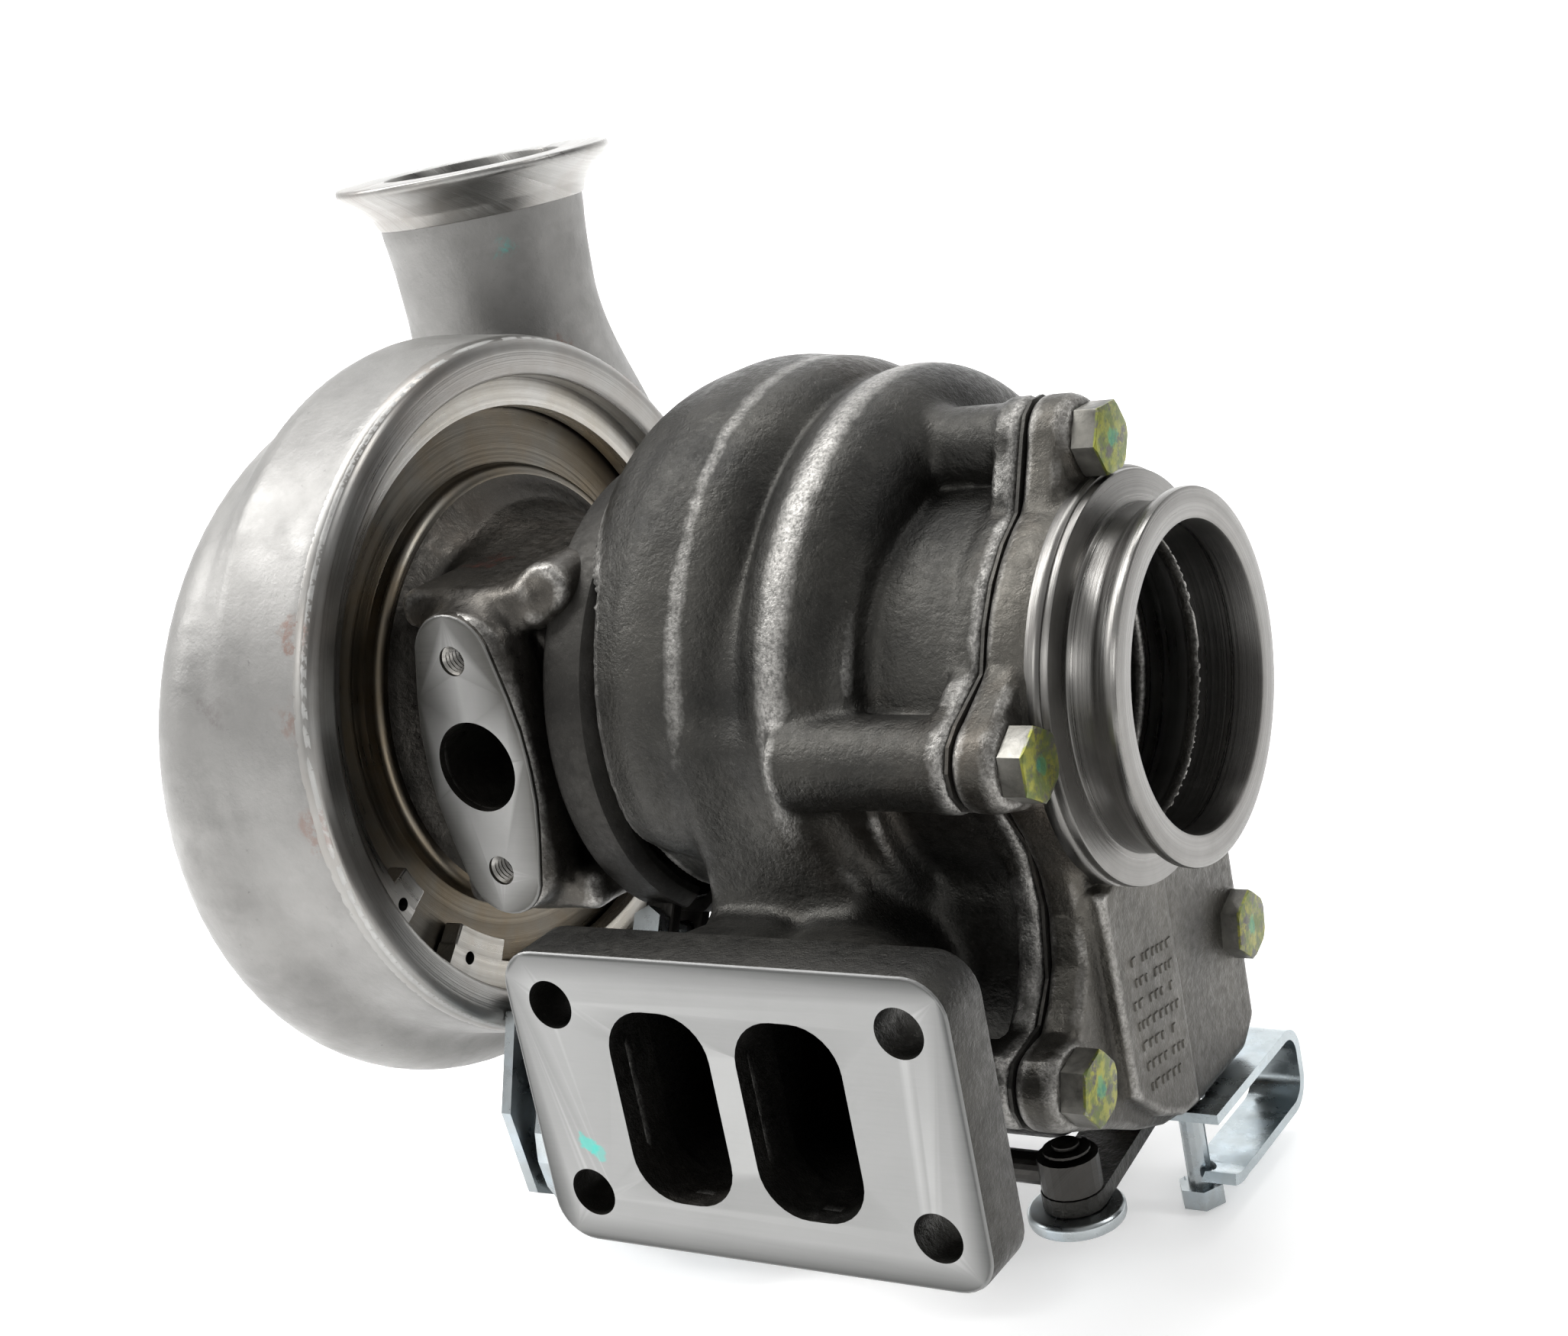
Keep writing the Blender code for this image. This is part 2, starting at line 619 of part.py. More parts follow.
def scroll_tube(lane, passage, steps, sides):
    """Rings of one lane of the divided scroll: the leg from its inlet port, then the turn round the shaft."""
    port, x = PORT_X[lane], SCROLL_X[lane]
    first_radius, first_tube = scroll_state(0.0)
    end = on_circle(first_radius, SCROLL_START, x)
    wall = 0.0 if passage else PORT_WALL
    last_size = first_tube * (PASSAGE_SHARE if passage else 1.0)
    rings = []
    for i in range(4):
        share = i / 3.6
        ease = share * share * (3 - 2 * share)
        start = -1.0 if passage else 1.0
        place = Vector((port + (end.x - port) * ease, start + (end.y - start) * share, end.z * ease))
        half_x = PORT_HALF_X + wall + (last_size - PORT_HALF_X - wall) * ease
        half_z = PORT_HALF_Z + wall + (last_size - PORT_HALF_Z - wall) * ease
        bluntness = 0.55 + 0.45 * ease
        ring = []
        for k in range(sides):
            cos, sin = math.cos(math.tau * k / sides), math.sin(math.tau * k / sides)
            ring.append(place + Vector((half_x * math.copysign(abs(cos) ** bluntness, cos), 0,
                                        half_z * math.copysign(abs(sin) ** bluntness, sin))))
        rings.append(ring)
    for i in range(steps + 1):
        share = i / steps
        radius, tube = scroll_state(share)
        centre = on_circle(radius, SCROLL_START - SCROLL_TURN * share, x)
        outward = (centre - Vector((x, SHAFT_Y, SHAFT_Z))).normalized()
        size = tube * (PASSAGE_SHARE if passage else 1.0)
        ring = []
        for k in range(sides):
            cos, sin = math.cos(math.tau * k / sides), math.sin(math.tau * k / sides)
            ring.append(centre + Vector((size * cos, 0, 0)) - outward * (size * sin))
        rings.append(ring)
    return rings


def cover_outline():
    """Outline of the joint between turbine housing and outlet cover, as (y, z), run anticlockwise."""
    top, front, low, right = COVER_BOLTS
    points = []
    points += arc(top, BOLT_PAD_R, 20, 160, 5)
    points += arc((SHAFT_Y, SHAFT_Z), BARREL_R + 1.0, 112, 160, 4)
    points += arc(front, BOLT_PAD_R, 110, 262, 5)
    points += [(73.0, 38.0), (80.5, 27.0), (82.5, 12.0), (79.0, -4.0), (72.0, -12.0)]
    points += arc(low, BOLT_PAD_R, 130, 250, 4)
    points += [(80.0, -41.0), (106.0, -54.0), (113.0, -55.5), (150.0, -55.5), (158.0, -50.0)]
    points += arc(right, BOLT_PAD_R, -40, 40, 4)
    points += [(160.0, 0.0), (164.0, 20.0)]
    points += arc((SHAFT_Y, SHAFT_Z), BARREL_R + 1.0, -25, 68, 6)
    return points


def turbine_housing():
    shell = add_mesh("turbine_housing", *skin(scroll_tube(0, False, 12, 10)), cast_iron())
    second = add_mesh("second", *skin(scroll_tube(1, False, 12, 10)), None)
    flange = prism("flange", rounded_rectangle((0, 0), (FLANGE_HALF_X, FLANGE_HALF_Z), FLANGE_CORNER), 0,
                   FLANGE_THICKNESS, None, "Y")
    barrel = turned("barrel", [
        (-75.0 + GAP, 54.0), (-71.0, 54.0), (-68.5, 51.0), (-52.0, 51.0), (-46.0, 55.0), (-22.0, 55.0),
        (-12.0, 48.0), (SEAM_X, BARREL_R),
    ], None, sides=RIM_SIDES)
    joint = prism("joint", cover_outline(), SEAM_X - 8.0, SEAM_X, None, "X")
    gate_room = prism("gate_room", rounded_rectangle((120.0, -18.0), (34.0, 34.0), 12.0), -12.0, SEAM_X - 4.0,
                      None, "X")
    bosses = []
    for y, z in COVER_BOLTS:
        bosses.append(bar("boss", -10.0, SEAM_X - 1.0, 8.6, None, "X", (0, y, z), 12))
    join_shapes(shell, [second, barrel, gate_room, joint, flange] + bosses)
    tools = [
        add_mesh("way", *skin(scroll_tube(0, True, 12, 8)), None),
        add_mesh("way", *skin(scroll_tube(1, True, 12, 8)), None),
        turned("wheel_room", [
            (-76.0, 45.3), (-69.0, 45.3), (-69.0, 47.2), (-60.0, 47.2), (-60.0, 42.0), (-44.0, 42.0),
            (-44.0, 50.0), (-35.5, 50.0), (-34.0, 41.0), (-32.0, 41.0), (-30.5, 50.0), (-23.4, 50.0),
            (-23.4, 38.5), (-18.0, 34.2), (-11.5, EXDUCER_R), (2.0, EXDUCER_R), (SEAM_X + 1.0, 33.5),
        ], None, sides=RIM_SIDES),
        prism("gate_pocket", rounded_rectangle((118.0, -13.0), (27.0, 23.0), 9.0), SEAT_X, SEAM_X + 1.0, None, "X"),
        bar("gate_port", -21.0, SEAT_X + 1.0, 9.5, None, "X", (0, VALVE_Y, VALVE_Z), 20),
        bar("spindle_bore", -70.0, -20.0, 7.0, None, "Z", (SPINDLE_X, SPINDLE_Y, 0), 20),
    ]
    for sign_x in (-1, 1):
        for sign_z in (-1, 1):
            tools.append(bar("stud_hole", -1.0, FLANGE_THICKNESS + 3.0, STUD_HOLE_R, None, "Y",
                             (sign_x * STUD_HALF_X, 0, sign_z * STUD_HALF_Z), 16))
    for y, z in COVER_BOLTS:
        tools.append(bar("thread", 8.0, SEAM_X + 1.0, 5.2, None, "X", (0, y, z), 12))
    return cut_shapes(shell, tools)


def outlet_gasket():
    sheet = prism("outlet_gasket", cover_outline(), SEAM_X + GAP, SEAM_X + GAP + 0.8, machined_steel(), "X")
    tools = [
        bar("bore", SEAM_X - 1.0, SEAM_X + 3.0, 34.5, None, "X", (0, SHAFT_Y, SHAFT_Z), 28),
        prism("pocket", rounded_rectangle((118.0, -13.0), (27.0, 23.0), 9.0), SEAM_X - 1.0, SEAM_X + 3.0, None, "X"),
    ]
    for y, z in COVER_BOLTS:
        tools.append(bar("hole", SEAM_X - 1.0, SEAM_X + 3.0, 5.5, None, "X", (0, y, z), 12))
    return cut_shapes(sheet, tools)


def outlet_cover():
    start = SEAM_X + 2 * GAP + 0.8
    face = SEAM_X + COVER_THICKNESS
    cover = prism("outlet_cover", cover_outline(), start, face, cast_iron(), "X")
    pad = prism("pad", [(84.0, 20.0), (88.0, -38.0), (108.0, -51.0), (119.0, -52.0), (119.0, 12.0)], face - 2.0,
                face + 3.5, None, "X")
    neck = turned("neck", [
        (face - 3.0, 46.6), (46.3, 46.6), (46.3, 39.3), (52.0, 39.3), (57.2, OUTLET_LIP_R),
        (OUTLET_X, OUTLET_LIP_R),
    ], None, sides=RIM_SIDES)
    join_shapes(cover, [pad, neck])
    tools = [
        turned("bore", [(start - 1.0, 33.6), (46.0, OUTLET_BORE_R), (OUTLET_X + 1.0, OUTLET_BORE_R)],
               None, sides=26),
        prism("pocket", rounded_rectangle((118.0, -13.0), (27.0, 23.0), 9.0), start - 1.0, face - 3.0, None, "X"),
        bar("link", start - 1.0, face - 3.0, 20.0, None, "X", (0, SHAFT_Y, 14.0), 20),
    ]
    for y, z in COVER_BOLTS:
        tools.append(bar("hole", start - 1.0, face + 5.0, 5.5, None, "X", (0, y, z), 14))
    tools.append(bar("thread", -58.0, -45.0, SUPPORT_BOLT_R + GAP, None, "Z", (*SUPPORT_BOLT, 0), 12))
    return cut_shapes(cover, tools)


def cover_bolt(number, place, turn):
    """A hexagon bolt with a plain collar; its head stands on the cover."""
    face = SEAM_X + COVER_THICKNESS + GAP
    head = prism(f"outlet_cover_bolt_{number}", hexagon((0, 0), 15.0, turn), face + 0.8, face + 6.8,
                 machined_steel(), "X", (0, *place))
    collar = bar("collar", face, face + 1.2, 7.4, None, "X", (0, *place), 18)
    shank = bar("shank", 10.0, face + 2.0, 4.8, None, "X", (0, *place), 14)
    return join_shapes(head, [collar, shank])


def v_band_clamp():
    ring = turned("v_band_clamp", [
        (-82.5, 51.8), (-81.0, 51.8), (-79.2, 54.4), (-70.8, 54.4), (-68.2, 52.0), (-66.8, 52.0), (-66.8, 54.2),
        (-69.5, 57.5), (-80.2, 57.5), (-82.5, 54.2),
    ], machined_steel(), sides=RIM_SIDES, ring=True)
    lugs = []
    for low, high in ((-8.0, -4.0), (4.0, 8.0)):
        outline = [(low, -BAND_BOLT_R - 5.0), (high, -BAND_BOLT_R - 5.0), (high, -54.6), (low, -54.6)]
        lugs.append(at_band_joint(prism("lug", outline, -4.4, 4.4)))
    join_shapes(ring, lugs)
    split = prism("split", [(-3.6, -70.0), (3.6, -70.0), (3.6, -48.0), (-3.6, -48.0)], -9.0, 9.0)
    hole = bar("hole", -12.0, 12.0, 2.9, None, "Y", (0, 0, -BAND_BOLT_R), 14)
    return cut_shapes(ring, [at_band_joint(split), at_band_joint(hole)])


def at_band_joint(thing):
    """Carries a shape built below the shaft, about its axis, round to the clamp's joint."""
    local = thing.location.copy()
    turn = Matrix.Rotation(math.radians(-90.0 - BAND_BOLT_ANGLE), 4, "X")
    thing.data.transform(turn @ Matrix.Translation(local))
    thing.location = Vector((BAND_BOLT_X, SHAFT_Y, SHAFT_Z)) * MM
    return thing


def v_band_bolt():
    at = (0, 0, -BAND_BOLT_R)
    head = prism("v_band_bolt", hexagon((0, 0), 7.6, 30.0), -12.4, -8.3, zinc_plate(), "Y", at)
    join_shapes(head, [bar("shank", -9.0, 15.0, 2.5, None, "Y", at, 12)])
    return at_band_joint(head)


def v_band_nut():
    at = (0, 0, -BAND_BOLT_R)
    nut = prism("v_band_nut", hexagon((0, 0), 7.6, 30.0), 8.3, 12.6, zinc_plate(), "Y", at)
    cut_shapes(nut, [bar("bore", 8.0, 14.0, 2.8, None, "Y", at, 12)])
    return at_band_joint(nut)


# ---------------------------------------------------------------- wastegate and actuator


def wastegate_spindle_and_valve():
    """The swing arm with its valve, closed on the seat, and the spindle that runs down to the lever."""
    at = (SPINDLE_X, SPINDLE_Y, 0)
    spindle = bar("wastegate_spindle_and_valve", -64.2, 2.0, SPINDLE_R, machined_steel(), "Z", at, 20)
    hub = bar("hub", VALVE_Z - 7.0, VALVE_Z + 7.0, 6.6, None, "Z", at, 20)
    arm = prism("arm", [(VALVE_Y - 4.0, SEAT_X + 3.0), (SPINDLE_Y, SPINDLE_X - 5.0), (SPINDLE_Y, SPINDLE_X + 4.0),
                        (VALVE_Y - 4.0, SEAT_X + 8.0)], VALVE_Z - 4.0, VALVE_Z + 4.0, None, "Z")
    for vertex in arm.data.vertices:
        vertex.co.x, vertex.co.y = vertex.co.y, vertex.co.x
    arm.data.flip_normals()
    disc = turned("disc", [(SEAT_X + GAP, VALVE_R - 1.0), (SEAT_X + GAP + 1.0, VALVE_R), (SEAT_X + 4.0, VALVE_R),
                           (SEAT_X + 5.0, VALVE_R - 1.5)], None, "X", (0, VALVE_Y, VALVE_Z), 24)
    return join_shapes(spindle, [hub, arm, disc])


def wastegate_bush():
    return turned("wastegate_bush", [
        (-53.5, SPINDLE_R + GAP), (-37.0, SPINDLE_R + GAP), (-37.0, 6.7), (-53.5, 6.7),
    ], bronze(), "Z", (SPINDLE_X, SPINDLE_Y, 0), 20, ring=True)


def wastegate_lever():
    low = LEVER_TOP - LEVER_THICKNESS
    outline = capsule((PIN_X, PIN_Y), (SPINDLE_X, SPINDLE_Y), 7.5)
    lever = prism("wastegate_lever", outline, low, LEVER_TOP, cast_iron(), "Z")
    hub = bar("hub", low, LEVER_TOP + 2.6, 8.5, None, "Z", (SPINDLE_X, SPINDLE_Y, 0), 20)
    join_shapes(lever, [hub])
    return cut_shapes(lever, [
        bar("eye", low - 1.0, LEVER_TOP + 5.0, SPINDLE_R + GAP, None, "Z", (SPINDLE_X, SPINDLE_Y, 0), 20),
        bar("eye", low - 1.0, LEVER_TOP + 1.0, 3.5, None, "Z", (PIN_X, PIN_Y, 0), 16),
    ])


def lever_pin():
    low = LEVER_TOP - LEVER_THICKNESS - GAP
    return turned("lever_pin", [
        (low - 4.4, 9.6), (low - 3.6, 11.5), (low - 0.6, 11.5), (low, 10.8), (low, 3.2), (-49.6, 3.2),
        (-49.6, 2.4), (-48.6, 2.4), (-48.6, 3.2), (-47.4, 3.2),
    ], zinc_plate(), "Z", (PIN_X, PIN_Y, 0), 20)


def lever_pin_clip():
    clip = turned("lever_pin_clip", [
        (-49.4, 2.7), (-48.8, 2.7), (-48.8, 5.6), (-49.4, 5.6),
    ], zinc_plate(), "Z", (PIN_X, PIN_Y, 0), 20, ring=True)
    return cut_shapes(clip, [box("mouth", (PIN_X - 1.8, PIN_Y, -50.0), (PIN_X + 1.8, PIN_Y + 8.0, -48.0))])


def rod_end():
    eye = bar("rod_end", LEVER_TOP + GAP, -50.4, 7.2, zinc_plate(), "Z", (PIN_X, PIN_Y, 0), 22)
    socket = bar("socket", PIN_X - 24.0, PIN_X - 4.0, 3.9, None, "X", (0, PIN_Y, ROD_Z), 20)
    join_shapes(eye, [socket])
    return cut_shapes(eye, [
        bar("bore", LEVER_TOP - 1.0, -49.0, 3.6, None, "Z", (PIN_X, PIN_Y, 0), 20),
        bar("thread", PIN_X - 25.0, PIN_X - 10.0, 2.8, None, "X", (0, PIN_Y, ROD_Z), 16),
    ])


def actuator_rod():
    return bar("actuator_rod", CAN_X[0] + 30.0, PIN_X - 12.0, 2.5, zinc_plate(), "X", (0, PIN_Y, ROD_Z), 16)


def rod_lock_nut():
    start = PIN_X - 24.3 - 4.6
    nut = prism("rod_lock_nut", hexagon((0, 0), 8.0), start, start + 4.3, zinc_plate(), "X", (0, PIN_Y, ROD_Z))
    return cut_shapes(nut, [bar("bore", start - 1.0, start + 6.0, 2.8, None, "X", (0, PIN_Y, ROD_Z), 16)])


def can_split():
    return CAN_X[0] + 22.0


def actuator_front_can():
    """Rod side of the boost capsule: a drawn cup with a rolled rim and a wide hole for the rod."""
    rim, nose = can_split(), CAN_X[1]
    return turned("actuator_front_can", [
        (rim, CAN_R), (rim + 1.5, CAN_R), (rim + 1.5, CAN_R - 2.5), (nose - 6.0, CAN_R - 3.5), (nose - 1.5, 20.0),
        (nose, 18.0), (nose, 7.2), (nose - 1.5, 7.2), (nose - 1.5, 17.0), (nose - 7.0, CAN_R - 5.0),
        (rim, CAN_R - 4.0),
    ], zinc_plate(), "X", (0, PIN_Y, ROD_Z), 20, ring=True)


def actuator_rear_can():
    """Pressure side of the boost capsule, with the hose barb's seat on its side."""
    rim, back = can_split() - 1.4, CAN_X[0]
    can = turned("actuator_rear_can", [
        (rim, CAN_R), (rim - 1.5, CAN_R), (rim - 1.5, CAN_R - 2.5), (back + 4.0, CAN_R - 3.5), (back, 20.0),
        (back, 2.0), (back + 1.5, 2.0), (back + 1.5, 19.0), (back + 5.0, CAN_R - 5.0), (rim, CAN_R - 4.0),
    ], zinc_plate(), "X", (0, PIN_Y, ROD_Z), 20, ring=True)
    return cut_shapes(can, [bar("port", PIN_Y + 15.0, PIN_Y + CAN_R + 2.0, 2.9, None, "Y",
                                (CAN_X[0] + 11.0, 0, ROD_Z), 11)])


def boost_hose_barb():
    start = PIN_Y + 18.0
    barb = turned("boost_hose_barb", [
        (start, 2.6), (PIN_Y + CAN_R - 2.2, 2.6), (PIN_Y + CAN_R - 2.2, 4.6), (PIN_Y + CAN_R + 0.6, 4.6),
        (PIN_Y + CAN_R + 0.6, 2.8), (PIN_Y + CAN_R + 8.0, 2.8), (PIN_Y + CAN_R + 8.2, 3.6), (PIN_Y + CAN_R + 11.0, 2.6),
    ], zinc_plate(), "Y", (CAN_X[0] + 11.0, 0, ROD_Z), 16)
    return cut_shapes(barb, [bar("bore", start - 1.0, start + 30.0, 1.4, None, "Y", (CAN_X[0] + 11.0, 0, ROD_Z), 10)])


def actuator_diaphragm():
    rim = can_split() - 0.9
    return turned("actuator_diaphragm", [
        (rim - 0.2, CAN_R - 0.6), (rim + 0.6, CAN_R - 0.6), (rim + 0.6, 22.6), (rim + 3.4, 20.6), (rim + 3.4, 2.0),
        (rim + 2.6, 2.0), (rim + 2.6, 20.0), (rim - 0.2, 22.0),
    ], rubber(), "X", (0, PIN_Y, ROD_Z), 20, ring=True)


def actuator_piston():
    """The cup that the diaphragm pushes; the rod's end sits loose inside its skirt."""
    start = can_split() + 2.9
    return turned("actuator_piston", [
        (start, 17.0), (start + 1.5, 17.0), (start + 1.5, 10.5), (start + 9.0, 10.5), (start + 9.0, 8.5),
        (start + 1.5, 8.5), (start + 1.5, 1.5), (start, 1.5),
    ], machined_steel(), "X", (0, PIN_Y, ROD_Z), 20, ring=True)


def actuator_spring():
    """Helical compression spring at the rod side's end, drawn as short as the piston's full stroke leaves it."""
    start, end = CAN_X[1] - 18.0, CAN_X[1] - 3.4
    radius, wire, turns, per_turn = 13.4, 1.1, 4.5, 11
    count = int(turns * per_turn)
    rings = []
    for i in range(count + 1):
        share = i / count
        angle = math.tau * turns * share
        outward = Vector((0, math.cos(angle), math.sin(angle)))
        centre = Vector((start + (end - start) * share, PIN_Y, ROD_Z)) + outward * radius
        rings.append([centre + outward * (wire * math.cos(math.tau * k / 5))
                      + Vector((1, 0, 0)) * (wire * math.sin(math.tau * k / 5)) for k in range(5)])
    return add_mesh("actuator_spring", *skin(rings), machined_steel())


def actuator_bracket():
    """A plate from two bolts in the compressor housing's rim out to the back of the boost capsule."""
    start, end = RIM_X + GAP, RIM_X + 3.3
    first, second = bracket_bolt_places()
    outline = [(first.y - 6.0, first.z + 2.0), (second.y + 7.0, second.z + 1.0), (PIN_Y + 27.0, ROD_Z + 6.0),
               (PIN_Y + 18.0, ROD_Z - 16.0), (PIN_Y - 4.0, ROD_Z - 22.0), (PIN_Y - 20.0, ROD_Z - 12.0),
               (PIN_Y - 23.0, ROD_Z + 12.0)]
    plate = prism("actuator_bracket", outline[::-1], start, end, zinc_plate(), "X")
    tools = [bar("hole", start - 1.0, end + 1.0, 6.2, None, "X", (0, PIN_Y, ROD_Z), 20)]
    for place in (first, second):
        tools.append(bar("hole", start - 1.0, end + 1.0, 2.9, None, "X", (0, place.y, place.z), 14))
    for z in (-12.0, 12.0):
        tools.append(bar("hole", start - 1.0, end + 1.0, 2.9, None, "X", (0, PIN_Y, ROD_Z + z), 14))
    return cut_shapes(plate, tools)


def bracket_bolt_places():
    return on_circle(84.8, -61.0), on_circle(84.8, -84.0)


def actuator_bracket_bolt(number, place):
    start = RIM_X + 3.3 + GAP
    head = prism(f"actuator_bracket_bolt_{number}", hexagon((0, 0), 7.8), start, start + 3.5, zinc_plate(), "X",
                 (0, place.y, place.z))
    return join_shapes(head, [bar("shank", RIM_X - 4.6, start + 1.0, 2.4, None, "X", (0, place.y, place.z), 14)])


def actuator_stud(number, z):
    at = (0, PIN_Y, ROD_Z + z)
    stud = bar(f"actuator_stud_{number}", RIM_X - 1.0, CAN_X[0] - GAP, 2.4, zinc_plate(), "X", at, 14)
    return join_shapes(stud, [prism("nut", hexagon((0, 0), 7.6), RIM_X + 3.6, CAN_X[0] - GAP, None, "X", at)])


def support_bracket():
    """A bent zinc strap under the outlet cover: a flat top, a drop at its far end and a return below."""
    top, bottom, near, far, thick = -56.0 - GAP, -78.5, 118.0, 170.0, 2.6
    outer = [(near, top), (far - 5.0, top)] + arc((far - 6.0, top - 6.0), 6.0, 60, 0, 3)
    outer += arc((far - 6.0, bottom + 6.0), 6.0, 0, -90, 3) + [(134.0, bottom), (near, bottom + 5.0)]
    inner = [(near + 0.8, bottom + 5.0 + thick), (134.4, bottom + thick)]
    inner += arc((far - 6.0, bottom + 6.0), 6.0 - thick, -90, 0, 3)
    inner += arc((far - 6.0, top - 6.0), 6.0 - thick, 0, 90, 3) + [(near, top - thick)]
    strap = prism("support_bracket", outer + inner, 33.5, 47.0, zinc_plate(), "X")
    return cut_shapes(strap, [
        bar("hole", -90.0, -50.0, SUPPORT_BOLT_R + GAP, None, "Z", (*SUPPORT_BOLT, 0), 14),
    ])


def support_bracket_bolt():
    at = (*SUPPORT_BOLT, 0)
    head = prism("support_bracket_bolt", hexagon((0, 0), 10.0), -84.5, -79.5, zinc_plate(), "Z", at)
    return join_shapes(head, [bar("shank", -80.0, -47.0, SUPPORT_BOLT_R, None, "Z", at, 12)])


def build():
    clear_scene()
    compressor_housing()
    compressor_backplate()
    backplate_o_ring()
    retaining_ring()
    compressor_wheel()
    shaft_nut()
    turbine_wheel_and_shaft()
    oil_slinger()
    thrust_collar()
    thrust_bearing()
    for number, degrees in enumerate(THRUST_SCREW_ANGLES, 1):
        thrust_bearing_screw(number, degrees)
    oil_baffle()
    journal_bearing("journal_bearing_compressor_side", JOURNAL_SPANS[0])
    journal_bearing("journal_bearing_turbine_side", JOURNAL_SPANS[1])
    for name, x in circlip_places():
        bearing_circlip(name, x)
    piston_ring("seal_ring_compressor_side", -143.2, 8.5, 9.2, 0.6)
    piston_ring("seal_ring_turbine_side", -73.1, 9.3, 10.7, 1.4)
    bearing_housing()
    oil_inlet_gasket()
    heat_shield()
    turbine_housing()
    outlet_gasket()
    outlet_cover()
    for number, (place, turn) in enumerate(zip(COVER_BOLTS, COVER_BOLT_TURNS), 1):
        cover_bolt(number, place, turn)
    v_band_clamp()
    v_band_bolt()
    v_band_nut()
    wastegate_spindle_and_valve()
    wastegate_bush()
    wastegate_lever()
    lever_pin()
    lever_pin_clip()
    rod_end()
    actuator_rod()
    rod_lock_nut()
    actuator_front_can()
    actuator_rear_can()
    boost_hose_barb()
    actuator_diaphragm()
    actuator_piston()
    actuator_spring()
    actuator_bracket()
    for number, place in enumerate(bracket_bolt_places(), 1):
        actuator_bracket_bolt(number, place)
    for number, z in enumerate((-12.0, 12.0), 1):
        actuator_stud(number, z)
    support_bracket()
    support_bracket_bolt()


build()
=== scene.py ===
"""Looks of the turbocharger: cast bodies grown as smooth solids, turned and machined faces, procedural metals.

All lengths in the shape code are millimetres in the row frame; MM turns them into metres.
"""

import math

import bmesh
import bpy
import numpy as np
from mathutils import Matrix, Vector


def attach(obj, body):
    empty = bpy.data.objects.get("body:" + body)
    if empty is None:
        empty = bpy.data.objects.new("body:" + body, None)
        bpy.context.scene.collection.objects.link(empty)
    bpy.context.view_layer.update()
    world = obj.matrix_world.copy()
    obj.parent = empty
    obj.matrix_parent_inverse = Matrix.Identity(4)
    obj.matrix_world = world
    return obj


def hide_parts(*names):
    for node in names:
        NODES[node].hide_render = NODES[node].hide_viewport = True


MM = 0.001
SHAFT = (118.4, 52.7)  # y, z of the shaft
STUD_X, STUD_Z = 42.5, 22  # half the spacing of the inlet flange's studs
BOLT_ACROSS_FLATS = 15.0
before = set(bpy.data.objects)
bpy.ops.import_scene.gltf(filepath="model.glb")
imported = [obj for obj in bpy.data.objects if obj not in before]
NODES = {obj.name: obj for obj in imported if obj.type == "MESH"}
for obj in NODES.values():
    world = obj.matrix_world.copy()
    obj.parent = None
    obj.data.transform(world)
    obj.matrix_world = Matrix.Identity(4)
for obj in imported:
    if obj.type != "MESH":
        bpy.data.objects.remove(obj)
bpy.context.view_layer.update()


# ---------------------------------------------------------------- solids grown on a grid


def smooth_min(a, b, blend):
    if blend <= 0:
        return np.minimum(a, b)
    reach = np.maximum(blend - np.abs(a - b), 0) / blend
    return np.minimum(a, b) - reach * reach * blend * 0.25


